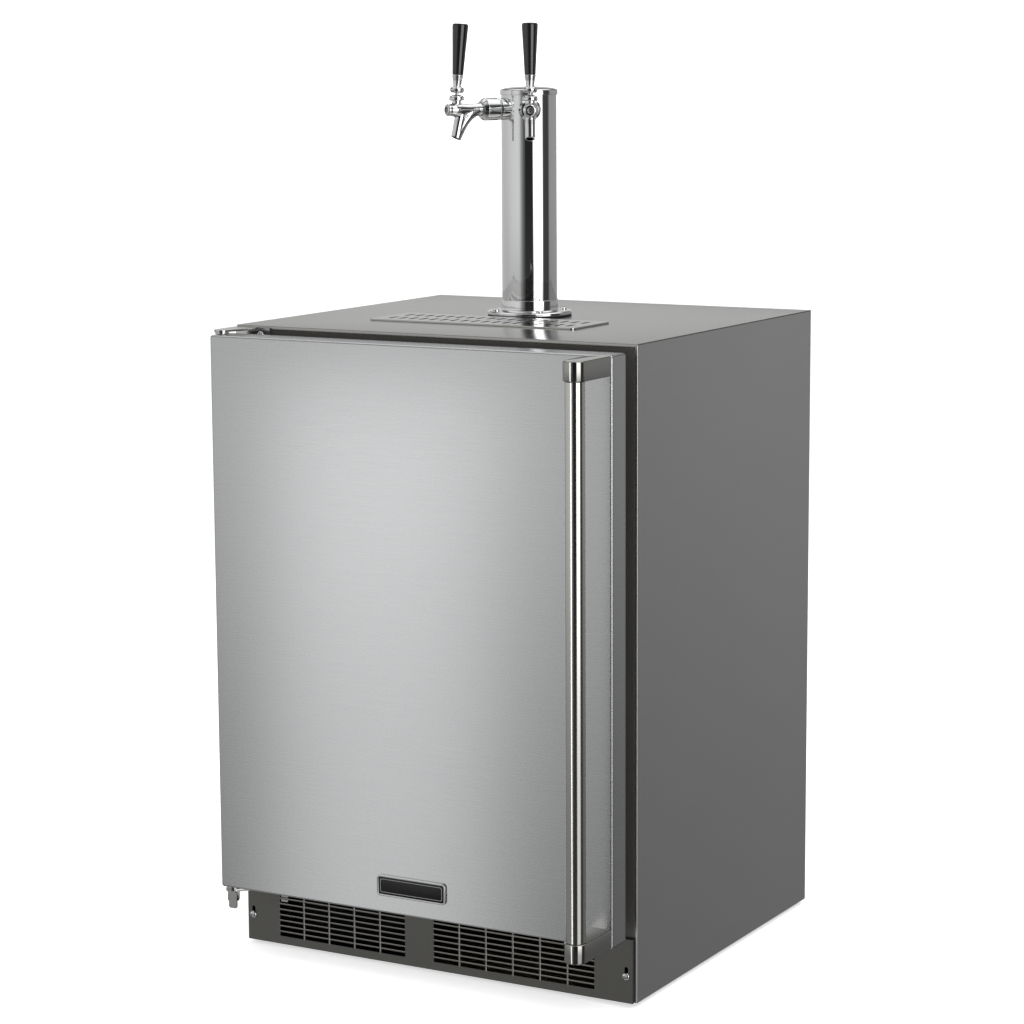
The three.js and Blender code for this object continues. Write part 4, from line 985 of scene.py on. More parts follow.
def upper_hinge():
    """Arm over the door with its pin and washer, and a leg that a screw holds to the cabinet."""
    low, high = extent("upper_hinge_plate")
    width, thickness = UPPER_ARM
    arm = hinge_arm(width, (high.z - thickness, high.z))
    leg = prism(rounded_rect((low.x, high.x), (low.z, high.z - 0.6), 2), (FRONT - 3.5, FRONT - 0.5), on_y)
    pin = hinge_pin((low.z + 2.6, high.z - 1))
    washer = hinge_washer(DOOR_HIGH.z + WASHER_PLAY, high.z - 2.8)
    solid = together(arm, leg, pin, washer)
    piece("hinge_upper", "cabinet", hinge_steel, solid, ["upper_hinge_plate"], 0.3)
    across, rise = UPPER_SCREW
    head = shifted(forward(pan_head(4.8, 3)), across, FRONT - 3.5, SIDE_LOW.z + rise)
    piece("hinge_screw", "cabinet", chrome, head)


def lower_hinge():
    """Arm under the door with its pin, washer and nut, a leg on the cabinet and a stop tab."""
    low, high = extent("lower_hinge_plate")
    floor = SIDE_LOW.z
    width, arm_low, arm_high = LOWER_ARM
    arm = hinge_arm(width, (floor + arm_low, floor + arm_high))
    leg = prism(rounded_rect((low.x + 4.7, high.x), (low.z, floor + 84), 2), (FRONT - 3.9, FRONT - 0.9), on_y)
    pin = hinge_pin((floor + arm_low + 2, high.z))
    washer = hinge_washer(floor + arm_high - 1, DOOR_LOW.z - WASHER_PLAY)
    nut_low, nut_high, nut_radius = LOWER_NUT
    levels = ((nut_radius - 1, nut_low), (nut_radius, nut_low + 1.4), (nut_radius, nut_high))
    nut = loft([on_z(arc((HINGE.x, HINGE.y), radius, 0, 300, 5), floor + rise) for radius, rise in levels])
    tab_z = tuple(floor + rise for rise in STOP_TAB_Z)
    tab_y = tuple(FRONT - ahead for ahead in STOP_TAB_Y)
    tab = prism(rounded_rect(STOP_TAB_X, tab_z, 3, 6), tab_y, on_y)
    solid = together(arm, leg, pin, washer, nut, tab)
    piece("hinge_lower", "cabinet", hinge_steel, solid, ["lower_hinge_plate"], 0.35)


# ---------------------------------------------------------------- drip grille

SLOT_COUNT = 18
SLOT_PITCH = 16.2
SLOT_SIZE = (5.4, 24)
SLOT_ROWS = (19, 62)  # from the grille's front edge
GRILLE_SHEET = 0.7
GRILLE_CORNER = 6


def drip_grille():
    """Thin plate with two rows of round-ended slots and a short skirt."""
    x, y = (DRIP_LOW.x, DRIP_HIGH.x), (DRIP_LOW.y, DRIP_HIGH.y)
    half = SLOT_SIZE[0] / 2
    slots = []
    for row in SLOT_ROWS:
        start = DRIP_LOW.y + row
        for i in range(SLOT_COUNT):
            middle = TOWER_X + (i - (SLOT_COUNT - 1) / 2) * SLOT_PITCH
            slots.append(rounded_rect((middle - half, middle + half), (start, start + SLOT_SIZE[1]), 2.6, 5))
    under = DRIP_HIGH.z - GRILLE_SHEET
    outside = rounded_rect(x, y, GRILLE_CORNER)
    inside = inset_rect(x, y, GRILLE_SHEET, GRILLE_CORNER - GRILLE_SHEET)
    top = plate(outside, slots, (under, DRIP_HIGH.z), on_z)
    rings = [on_z(outside, under), on_z(outside, DRIP_LOW.z), on_z(inside, DRIP_LOW.z), on_z(inside, under)]
    solid = together(top, loft(rings, loop=True))
    piece("drip_plate", "cabinet", grille_steel, solid, ["drip_grille"], 0.3)


# ---------------------------------------------------------------- tower

TOWER_AT = Matrix.Translation((TOWER_X, TOWER_Y, 0))
FLANGE_RIM = (FLANGE_HIGH.x - FLANGE_LOW.x) / 2
FLANGE_TOP = FLANGE_LOW.z + 4.6
COLUMN_WALL = 1.5


def tower():
    tower_base()
    tower_seal()
    flange_screws()
    column()
    cap()


def tower_base():
    """Round flange with a raised collar round the column."""
    bottom, top = FLANGE_LOW.z, FLANGE_TOP
    bore = TOWER_RADIUS + GAP
    flange = turned([
        (bore, bottom), (FLANGE_RIM, bottom), (FLANGE_RIM, top - 1.2), (FLANGE_RIM - 1.6, top),
        (bore + 5, top), (bore + 2.0, top + 1.0), (bore + 1.4, top + 4), (bore + 1.4, FLANGE_HIGH.z),
        (bore, FLANGE_HIGH.z),
    ], 0.5, 96, loop=True)
    solid = moved(flange, TOWER_AT)
    piece("tower_base", "cabinet", chrome, solid, ["tower_flange"], smooth=30)


def tower_seal():
    low, high = extent("tower_gasket")
    inner, outer = TOWER_HOLE, FLANGE_RIM - 1
    seal = turned([(inner, low.z), (outer, low.z), (outer, high.z), (inner, high.z)], 0.3, 96, loop=True)
    piece("tower_seal", "cabinet", black_rubber, moved(seal, TOWER_AT), ["tower_gasket"])


def flange_screws():
    for number in range(4):
        angle = math.radians(45 + 90 * number)
        place = (FLANGE_SCREW_CIRCLE * math.cos(angle), FLANGE_SCREW_CIRCLE * math.sin(angle))
        screw = shifted(together(pan_head(4.8, 2.8), rod(2.2, (-6.8, 0), 16)), *place, FLANGE_TOP + GAP)
        name = f"flange_screw_{number + 1}"
        piece(f"{name}_head", "cabinet", chrome, moved(screw, TOWER_AT), [name])


def column():
    """Tube with a hole for each shank."""
    bottom, top = FLANGE_LOW.z, COLUMN_HIGH.z
    wall = TOWER_RADIUS - COLUMN_WALL
    profile = [(wall, bottom), (TOWER_RADIUS, bottom), (TOWER_RADIUS, top), (wall, top)]
    shell = turned(profile, 0.2, 128, loop=True)
    drills = []
    for sign in SIDES.values():
        drill = shifted(forward(rod(9.8, (20, 60), 48)), 0, 0, TAP_Z)
        drills.append(rotated(drill, math.degrees(sign * TAP_SPREAD), "Z"))
    solid = moved(cut(shell, *drills), TOWER_AT)
    piece("column", "cabinet", chrome, solid, ["tower_column"], smooth=30)


def cap():
    """Cap with a short skirt, a low dome and a plug that stands in the column."""
    skirt, crown = CAP_LOW.z, CAP_HIGH.z
    outer, inner = TOWER_RADIUS + 1.6, TOWER_RADIUS + GAP
    shoulder = skirt + 6.2
    profile = softened([(inner, skirt), (outer, skirt), (outer, shoulder)], 0.4)
    dome = [(outer * math.cos(a), shoulder + (crown - shoulder) * math.sin(a))
            for a in (math.radians(step * 6) for step in range(1, 15))]
    under = [(0, crown), (0, crown - 4), (inner - 8, crown - 5), (inner, crown - 6), (inner, skirt)]
    profile += [Vector(point) for point in [*dome, *under]]
    solid = moved(lathe(profile, 96), TOWER_AT)
    piece("cap", "cabinet", chrome, solid, ["tower_cap"], smooth=30)


# ---------------------------------------------------------------- taps, drawn straight ahead of the tower

NUT_FRONT = 76.4
NUT_BACK = 50.5
NUT_RADIUS = 15.3
NOSE_FRONT = 130
VALVE_SEAT = 78.5
SHANK_BACK = 22
BALL_RADIUS = 5
SOCKET_RADIUS = 5.35
STUB_REACH = 14  # from the ball's centre to the stub's end
SPOUT_STEPS = 24
SPOUT_LINE = ((84, -0.5), (99.6, -5.6), (115.4, -38.0))  # start, bend and mouth: ahead and up


def spout_path(extra):
    """Centre line of the spout, from inside the barrel to its mouth and `extra` beyond."""
    start, control, end = (Vector(point) for point in SPOUT_LINE)
    points = []
    for step in range(SPOUT_STEPS + 1):
        t = step / SPOUT_STEPS
        at = start * (1 - t) ** 2 + control * 2 * t * (1 - t) + end * t ** 2
        points.append(Vector((0, -at.x, at.y)))
    along = (end - control).normalized()
    beyond = end + along * extra
    points.append(Vector((0, -beyond.x, beyond.y)))
    return points


def mouth_frame():
    """Matrix that puts +Z along the spout at its mouth."""
    control, end = (Vector(point) for point in SPOUT_LINE[1:])
    along = (end - control).normalized()
    direction = Vector((0, -along.x, along.y))
    turn = direction.to_track_quat("Z", "X").to_matrix().to_4x4()
    return Matrix.Translation((0, -end.x, end.y)) @ turn


def faucet_body():
    """Barrel, nose, neck and spout flowing into each other, then bored out."""
    barrel = forward(turned([
        (0, 65.8), (11.4, 65.8), (11.4, 73), (8.9, 73.4), (8.7, NUT_FRONT + 2), (8.0, 90), (7.9, 99),
        (8.6, 106), (9.4, 112), (9.4, 118), (8.2, 122.6), (7.8, 124.4), (8.3, 125.6), (8.3, 128.6),
        (7.2, NOSE_FRONT), (0, NOSE_FRONT),
    ], 1.2, 64))
    neck = shifted(rod(6.4, (0, BALL_HEIGHT - 1), 40), 0, -LEVER_REACH)
    radii = [8.6 - 1.5 * min(step / (SPOUT_STEPS * 0.6), 1) for step in range(SPOUT_STEPS + 1)]
    spout = tube(spout_path(4), [*radii, 7.1], 40)
    root_line = [(0, -106, 1), (0, -108, -7), (0, -111.4, -20), (0, -115.4, -38), (0, -117.2, -41.6)]
    root = tube(root_line, [7.8, 7.6, 7.2, 7.1, 7.1], 40)
    web_outline = [(-86, -1), (-95, -9.5), (-103, -19), (-107, -27), (-113, -24), (-110, -1)]
    web = prism(web_outline, (-5.6, 5.6), on_x)
    body = blended(joined(barrel, neck, spout, root, web), 0.5, 34)
    mouth = mouth_frame()
    trim = moved(rod(14, (0, 14), 40), mouth)
    bore = moved(rod(5.3, (-14, 3), 40), mouth)
    front_bore = forward(rod(4.9, (VALVE_SEAT, NOSE_FRONT + 2), 40))
    chamber = forward(rod(7.4, (64, VALVE_SEAT), 40))
    ball_seat = [(0, -SOCKET_RADIUS), *arc((0, 0), SOCKET_RADIUS, -80, 80, 14), (0, SOCKET_RADIUS)]
    socket = shifted(lathe(ball_seat, 32), 0, -LEVER_REACH, BALL_HEIGHT)
    top = BALL_HEIGHT - 1
    swing = [(-3.6, 1), (9.2, 1), (3.2, top), (-3.2, top)]
    stub_room = prism([(y - LEVER_REACH, z) for y, z in swing], (-2.4, 2.4), on_x)
    return cut(body, trim, joined(front_bore, chamber, bore), joined(socket, stub_room))


def shank():
    """Threaded tube through the column's wall, with a collar that is cut to fit round the column."""
    inside = TOWER_RADIUS - 4
    body = turned([
        (3.4, SHANK_BACK), (9.5, SHANK_BACK), (9.5, inside), (14.6, inside), (14.6, 47.8), (13.0, 50.2),
        (11.6, 50.2), (11.6, 65.5), (3.4, 65.5),
    ], 0.4, 64, loop=True)
    saddle = shifted(rod(TOWER_RADIUS + 0.1, (-30, 30), 96))
    stem = forward(rod(9.6, (0, 60), 64))
    return cut(forward(body), cut(saddle, stem))


def coupling_nut():
    """Smooth round nut with a bevelled front."""
    back, front, radius = NUT_BACK, NUT_FRONT, NUT_RADIUS
    return forward(turned([
        (11.9, back), (radius - 1.8, back), (radius, back + 1.8), (radius, front - 5.2),
        (radius - 3.6, front), (9.2, front), (9.2, front - 3), (11.9, front - 3),
    ], 0.5, 96, loop=True))


def bonnet():
    """Screwed ring that holds the lever's ball in the neck."""
    return shifted(turned([
        (6.3, 12.4), (9.4, 12.4), (10.25, 13.4), (10.25, 16.8), (9.4, 18.2), (8.3, 18.9), (4.95, 20.2),
        (4.7, 18.4), (5.5, 17.6), (5.5, BALL_HEIGHT + 0.3), (6.3, BALL_HEIGHT + 0.3),
    ], 0.9, 64, loop=True), 0, -LEVER_REACH)


def lever():
    """Stub, ball, stem, collar ring and the ferrule that the grip stands in."""
    profile = [
        (0, -15.4), (1.2, -15.2), (1.87, -STUB_REACH), *arc((0, 0), BALL_RADIUS, -68, 58, 16),
        (2.5, 5.4), (2.7, 6.7), (5.9, 6.7), *arc((5.9, 10.75), 4.0, -80, 80, 12),
        (5.5, 15.2), (5.7, 18), (6.3, 23), (7.9, 30.2), (7.6, 30.6), (0, 30.6),
    ]
    return turned(profile, 0.5, 64)


def grip():
    """Black handle that widens towards its top."""
    profile = [
        (0, 30.9), (7.5, 30.9), (7.9, 40), (8.7, 56), (9.8, 76), (10.9, 96.2), (10.6, 98.4), (9.2, 99.4),
        (0, 99.7),
    ]
    return turned(profile, 0.9, 72)


def valve_shaft():
    """Seal head behind the seat, a thin shaft, and a thick front end with a slot for the lever's stub."""
    seat, nose = VALVE_SEAT, NOSE_FRONT
    body = forward(turned([
        (0, seat - 4.2), (6.5, seat - 4.2), (6.5, seat - 0.6), (2.6, seat - 0.6), (2.6, LEVER_REACH - 7),
        (4.5, LEVER_REACH - 6), (4.5, nose - 1.5), (3.6, nose - 1.5), (3.4, nose - 2.4), (0, nose - 2.4),
    ], 0.3, 48))
    middle = -LEVER_REACH - STUB_REACH * math.sin(math.radians(LEVER_LEAN))
    return cut(body, block((-2.6, 2.6), (middle - 2.7, middle + 2.7), (-0.8, 6)))


def beer_line():
    """Steel line that leaves the shank's tail and turns down into the keg space."""
    bend = 11
    start = SHANK_BACK - GAP
    drop = start - 2
    path = [(0, -start, 0)]
    for step in range(13):
        angle = math.radians(7.5 * step)
        path.append((0, bend * math.sin(angle) - drop, -bend * (1 - math.cos(angle))))
    foot = extent("beer_line_left")[0].z - TAP_Z
    path.append((0, bend - drop, foot))
    return tube(path, [3.2] * len(path), 24)


def taps():
    """Both taps, each turned to its own side of the tower."""
    lean = Matrix.Rotation(-math.radians(LEVER_LEAN), 4, "X")
    lean = Matrix.Translation((0, -LEVER_REACH, BALL_HEIGHT)) @ lean
    upright = Matrix.Identity(4)
    parts = (
        ("shank", "cabinet", shank(), "polished_chrome", chrome, upright),
        ("coupling_nut", "cabinet", coupling_nut(), "polished_chrome", chrome, upright),
        ("faucet_body", "cabinet", faucet_body(), "polished_chrome", chrome, upright),
        ("bonnet", "cabinet", bonnet(), "polished_chrome", chrome, upright),
        ("beer_line", "cabinet", beer_line(), "satin_steel", plate_steel, upright),
        ("valve_shaft", "valve_{}", valve_shaft(), "satin_steel", plate_steel, upright),
        ("lever", "tap_lever_{}", lever(), "polished_chrome", chrome, lean),
        ("grip", "tap_lever_{}", grip(), "gloss_black", gloss_black, lean),
    )
    for label, sign in SIDES.items():
        at = Matrix.Translation((TOWER_X, TOWER_Y, TAP_Z)) @ Matrix.Rotation(sign * TAP_SPREAD, 4, "Z")
        for name, body, solid, slot, material, pose in parts:
            node = f"{name}_{label}"
            smooth = 32 if name == "valve_shaft" else 38
            solid = moved(solid, at @ pose)
            piece(f"{node}_shape", body.format(label), material, solid, [node], smooth=smooth)


# ---------------------------------------------------------------- inside the cabinet

def keg_plate():
    """Steel plate that the keg stands on."""
    x, y = (KEG_PLATE_LOW.x, KEG_PLATE_HIGH.x), (KEG_PLATE_LOW.y, KEG_PLATE_HIGH.y)
    solid = prism(rounded_rect(x, y, 12, 10), (KEG_PLATE_LOW.z, KEG_PLATE_HIGH.z), on_z)
    piece("keg_plate", "cabinet", plate_steel, solid, ["keg_floor_plate"], 0.5)


def evaporator():
    """Roll-bonded plate on four stand-offs, with a serpentine channel blown up on its front."""
    low, high = EVAPORATOR_LOW, EVAPORATOR_HIGH
    face = low.y + 3
    sheet = prism(rounded_rect((low.x, high.x), (low.z, high.z), 10, 8), (face, face + 1.6), on_y)
    posts = []
    for x in (-165, 165):
        for z in (low.z + 20, high.z - 20):
            post = rotated(rod(6, (0, high.y - face - 1.6), 24), -90, "X")
            posts.append(shifted(post, x, face + 1.6, z))
            posts.append(shifted(forward(pan_head(5, 2)), x, face, z))
    rows, pitch, reach = 8, 40, 150
    path = []
    for row in range(rows):
        z = low.z + 30 + row * pitch
        ends = (-reach, reach) if row % 2 == 0 else (reach, -reach)
        path += [(ends[0], z), (ends[1], z)]
    path = softened(path, 16, 6)
    rings = []
    for i, point in enumerate(path):
        along = (path[min(i + 1, len(path) - 1)] - path[max(i - 1, 0)]).normalized()
        across = Vector((-along.y, along.x))
        ring = []
        for u, depth in arc((0, 0), 1, 0, 180, 8):
            spot = point + across * (u * 5)
            ring.append((spot.x, face + 0.4 - depth * 3.0, spot.y))
        rings.append(ring)
    solid = together(sheet, *posts, loft(rings))
    piece("evaporator", "cabinet", aluminium, solid, ["evaporator_plate"], smooth=40)


def control_box():
    """Thermostat housing on the right wall, with slots and with marks round its dial."""
    low, high = HOUSING_LOW, HOUSING_HIGH
    y, z = (low.y, high.y), (low.z, high.z)
    corner, soft = 9, 4
    rings = [on_x(rounded_rect(y, z, corner), x) for x in (high.x, low.x + soft)]
    for step in range(1, 6):
        angle = math.radians(18 * step)
        inset = soft * (1 - math.cos(angle))
        outline = inset_rect(y, z, inset, corner - inset * 0.6)
        rings.append(on_x(outline, low.x + soft - soft * math.sin(angle)))
    dial = (low.x, (KNOB_LOW.y + KNOB_HIGH.y) / 2, (KNOB_LOW.z + KNOB_HIGH.z) / 2)
    bore = rotated(rod(3.4, (-14, 1), 24), -90, "Y")
    slots = []
    for row in range(5):
        z_slot = low.z + 14 + row * 11
        slots.append(block((low.x - 2, low.x + 3), (high.y - 20, high.y - 6), (z_slot, z_slot + 3)))
    solid = cut(loft(rings), shifted(bore, *dial), *slots)
    piece("control_box", "cabinet", liner_plastic, solid, ["control_housing"], smooth=30)
    marks = []
    for step in range(10):
        tick = block((-0.25, 0.35), (-0.5, 0.5), (21, 24.5 if step % 3 == 0 else 23))
        marks.append(shifted(rotated(tick, -135 + step * 30, "X"), *dial))
    piece("dial_marks", "cabinet", liner_mark, together(*marks))


def knob():
    """Thermostat knob: a fluted skirt, a raised finger bar and a white pointer line."""
    middle = ((KNOB_LOW.y + KNOB_HIGH.y) / 2, (KNOB_LOW.z + KNOB_HIGH.z) / 2)
    radius = (KNOB_HIGH.z - KNOB_LOW.z) / 2
    sides, flutes, flute_depth, flute_top = 144, 24, 0.45, 15
    rings = []
    for inset, height in ((0.4, 1), (0, 1.6), (0, 7.5), (0.8, 13.6), (2.2, 15.0), (4.5, 15.4)):
        ring = []
        for i in range(sides):
            angle = 2 * math.pi * i / sides
            fluted = inset + height < flute_top
            flute = flute_depth * (0.5 + 0.5 * math.cos(flutes * angle)) if fluted else 0
            reach = radius - inset - flute
            ring.append((reach * math.cos(angle), reach * math.sin(angle), height))
        rings.append(ring)
    reach = radius - 4.5
    outline = rounded_rect((-3, 3), (-reach, reach), 2.4)
    crown = inset_rect((-3, 3), (-reach, reach), 0.8, 1.8)
    bar = loft([on_z(outline, 14.5), on_z(outline, 19.6), on_z(crown, 21)])
    spindle = rod(3, (-12, 1.5), 24)
    turn = Matrix.Translation((HOUSING_LOW.x, *middle)) @ Matrix.Rotation(-math.pi / 2, 4, "Y")
    body = moved(together(loft(rings), bar, spindle), turn)
    piece("dial_knob", "thermostat", black_trim, body, ["thermostat_knob"], smooth=40)
    pointer = moved(block((-0.5, 0.5), (-reach + 1.2, -1.5), (20.6, 21.0)), turn)
    piece("dial_pointer", "thermostat", liner_plastic, pointer)


# ---------------------------------------------------------------- machine compartment

THREAD_PITCH = 1.5
THREAD_RADII = (4.3, 5)


def leg_profile(height, pad):
    """Half outline of a levelling leg: a ribbed pad under a threaded stud."""
    root, crest = THREAD_RADII
    z, pitch = 5.4, THREAD_PITCH
    profile = [(0, 0), (pad - 1.5, 0), (pad, 1.2), (pad, 3.6), (pad - 2, 5.2), (8, z), (crest, z)]
    while z < height - pitch - 1:
        profile += [(crest, z + pitch * 0.15), (root, z + pitch * 0.65), (crest, z + pitch)]
        z += pitch
    return [*profile, (4.2, height), (0, height)]


def legs():
    for end in ("front", "rear"):
        for label in SIDES:
            leg = f"leg_{end}_{label}"
            node = f"leveling_{leg}"
            low, high = extent(node)
            middle = (low + high) / 2
            solid = shifted(lathe(leg_profile(high.z, (high.x - low.x) / 2), 40), middle.x, middle.y)
            piece(f"{leg}_foot", leg, black_trim, solid, [node], smooth=25)


def compressor():
    """Welded steel can with a seam, on a foot plate with rubber buffers, and its terminal cover."""
    low, high = COMPRESSOR_LOW, COMPRESSOR_HIGH
    x = (low.x + high.x) / 2
    y = (low.y + high.y) / 2
    floor = low.z
    profile = [
        (0, 12), (30, 12), (40, 14.5), (44.5, 21), (46, 40), (46.2, 59), (47.5, 61), (47.5, 66), (46.2, 68),
        (46, 96), (44.5, 118), (40, 133), (30, 144), (16, 149), (0, 150),
    ]
    stretch = Matrix.Translation((x, y, floor)) @ Matrix.Diagonal((1.7, 0.97, 1, 1))
    can = moved(turned(profile, 3, 64), stretch)
    piece("compressor_can", "cabinet", black_enamel, can, ["compressor"], smooth=40)
    foot_plate = prism(rounded_rect((x - 102, x + 102), (y - 42, y + 42), 10), (floor + 8, floor + 12), on_z)
    grommet = turned([(0, 0), (8, 0), (8, 3), (6.4, 4), (6.4, 6), (8, 7), (8, 9), (0, 9)], 0.6, 24)
    buffers = [shifted(grommet, x + dx, y + dy, floor) for dx in (-92, 92) for dy in (-32, 32)]
    cover_y, cover_z = (y - 22, y + 22), (floor + 60, floor + 108)
    outline = rounded_rect(cover_y, cover_z, 5)
    cover = [on_x(outline, x + 60), on_x(outline, x + 94), on_x(inset_rect(cover_y, cover_z, 2, 4), x + 96)]
    piece("compressor_feet", "cabinet", black_enamel, foot_plate, bevel=0.5)
    piece("compressor_buffers", "cabinet", black_rubber, together(*buffers))
    piece("compressor_cover", "cabinet", black_trim, loft(cover), bevel=0.6)


def condenser():
    """Finned coil: thin plates on two banks of copper tubes."""
    low, high = COIL_LOW, COIL_HIGH
    count, half = 56, 0.25
    left, right = low.x + 8, high.x - 8
    outline = rounded_rect((low.y, high.y), (low.z, high.z), 1.5, 2)
    fins = []
    for i in range(count):
        x = left + (right - left) * i / (count - 1)
        fins.append(prism(outline, (x - half, x + half), on_x))
    # The fins and pipes get near-black colours as painted shade behind the louvres.
    piece("condenser_fins", "cabinet", shaded_fins, together(*fins), ["condenser_coil"])
    pipe = rotated(rod(3.2, (left - 4, right + 4), 16), 90, "Y")
    middle = (low.y + high.y) / 2
    pipes = [shifted(pipe, 0, middle + side, low.z + 12 + row * 22) for side in (-9, 9) for row in range(4)]
    piece("condenser_pipes", "cabinet", copper, together(*pipes))


FAN_BLADES = 5
BLADE_REACH = (11, 38)  # from the fan's axis


def fan_blade():
    """A twisted, bowed blade that narrows at its root and tip."""
    rings = []
    steps = 8
    for step in range(steps + 1):
        t = step / steps
        radius = BLADE_REACH[0] + (BLADE_REACH[1] - BLADE_REACH[0]) * t
        width = 7 + 5.5 * math.sin(math.pi * min(t * 0.7 + 0.15, 1))
        pitch = math.radians(40 - 18 * t)
        ring = []
        for u, v in rounded_rect((-width, width), (-0.55, 0.55), 0.5, 3):
            out = v + 0.8 * (1 - (u / width) ** 2)
            across = u * math.cos(pitch) - out * math.sin(pitch)
            ring.append((radius, across, 9 + u * math.sin(pitch) * 0.45 + out * math.cos(pitch)))
        rings.append(ring)
    return loft(rings)


def fan():
    """Motor can with cooling ribs on a bracket, and five twisted blades on a hub."""
    x, y, z = joint_place("fan_spin")
    at = Matrix.Translation((x, y, z)) @ Matrix.Rotation(-math.pi / 2, 4, "X")
    profile = [(0, 4.6), (2.9, 4.6), (2.9, 17), (24, 17), (26, 18.5)]
    for rib in range(5):
        start = 22 + rib * 5.4
        profile += [(26, start), (24.8, start + 0.6), (24.8, start + 2.2), (26, start + 2.8)]
    profile += [(26, 50), (22, 54), (0, 54)]
    can = moved(turned(profile, 0.4, 40), at)
    floor = MOTOR_LOW.z
    leg = block((x - 14, x + 14), (y + 20, y + 50), (floor, z - 20))
    foot = block((x - 30, x + 30), (y + 18, y + 52), (floor, floor + 3))
    piece("fan_motor", "cabinet", black_enamel, can, ["condenser_fan_motor"], smooth=35)
    piece("fan_bracket", "cabinet", plate_steel, together(leg, foot), bevel=0.6)
    hub = turned([(0, 2), (10, 2), (13, 4), (13, 15), (3.3, 15), (3.3, 4), (0, 4)], 0.5, 40)
    blades = [rotated(fan_blade(), 360 * i / FAN_BLADES, "Z") for i in range(FAN_BLADES)]
    wheel = moved(together(hub, *blades), at)
    piece("fan_wheel", "fan", black_trim, wheel, ["condenser_fan_blade"], smooth=40)


def power_gland():
    """Rubber bush in the rear sheet that a supply lead would leave through."""
    low, high = extent("power_inlet")
    middle = (low + high) / 2
    wall = BACK_LOW.y + SHEET
    profile = [(4.5, -12), (9, -12), (9, GAP), (16, GAP), (16, 2.6), (12.5, 4.2), (9.4, 6.5), (4.5, 6.5)]
    solid = shifted(rotated(turned(profile, 0.6, 48, loop=True), -90, "X"), middle.x, wall, middle.z)
    piece("lead_gland", "cabinet", black_rubber, solid, ["power_inlet"])


# ---------------------------------------------------------------- studio

def stage_object(name, solid, material):
    item = to_object(name, solid, 1.0)
    item.data.materials.append(material)
    item.data.shade_smooth()
    return item


def pale(name, glow):
    """Pale surface that is partly lit and partly glows by itself, for an even studio white."""
    shader = Shader(name, (0.86, 0.86, 0.86), 0.9)
    shader.base.inputs["Specular IOR Level"].default_value = 0.0
    shader.base.inputs["Emission Color"].default_value = (1, 1, 1, 1)
    shader.base.inputs["Emission Strength"].default_value = glow
    return shader.material


def make_stage():
    """A wide round floor, and a pale dome behind it that only the camera sees."""
    floor = stage_object("floor", lathe([(0, 0), (4, 0), (16, 0)], 96), pale("floor_pale", 0.60))
    floor.visible_glossy = False
    dome = lathe([(15.9, -0.5), (15.9, 4), (12, 11), (6, 15), (0, 16)], 96)
    backdrop = stage_object("backdrop", dome, pale("backdrop_pale", 0.92))
    for ray in ("visible_glossy", "visible_diffuse", "visible_shadow", "visible_transmission"):
        setattr(backdrop, ray, False)


def studio_ramp(tree, angle, stops, turn=360):
    """Brightness by direction, from stops in degrees that are spread evenly about 0."""
    ramp = tree.nodes.new("ShaderNodeValToRGB")
    elements = ramp.color_ramp.elements
    while len(elements) > 1:
        elements.remove(elements[0])
    for i, (degrees, brightness) in enumerate(stops):
        place = degrees / turn + 0.5
        element = elements[0] if i == 0 else elements.new(place)
        element.position = place
        element.color = (brightness, brightness, brightness, 1)
    tree.links.new(angle, ramp.inputs["Fac"])
    return ramp.outputs["Color"]


# Brightness of the studio's walls by azimuth from the front, in degrees: well below eye level
# (the floor), at eye level, and well above it. BANDS multiplies all three by elevation.
WALLS_LOW = (
    (-180, 0.20), (-150, 0.22), (-90, 0.27), (-45, 0.28), (-20, 0.28), (-8, 0.20), (8, 0.05), (44, 0.05),
    (50, 1.0), (82, 0.9), (90, 0.06), (114, 0.05), (124, 0.16), (160, 0.17), (180, 0.20),
)
WALLS_LEVEL = (
    (-180, 0.40), (-150, 0.60), (-90, 0.55), (-45, 0.66), (-20, 0.70), (-12, 0.64), (-4, 0.30), (6, 0.12),
    (14, 0.02), (44, 0.02), (49, 2.6), (82, 2.6), (89, 0.06), (114, 0.05), (124, 0.32), (160, 0.34),
    (180, 0.32),
)
WALLS_HIGH = (
    (-180, 0.75), (-90, 0.60), (-20, 0.50), (8, 0.20), (44, 0.25), (50, 1.5), (82, 1.4), (92, 0.40),
    (120, 0.75), (180, 0.80),
)
BANDS = (
    (-90, 1.5), (-52, 1.2), (-42, 0.40), (-34, 0.34), (-26, 0.9), (15, 1.0), (22, 0.28), (36, 0.22),
    (46, 1.5), (62, 1.7), (74, 0.5), (90, 1.2),
)


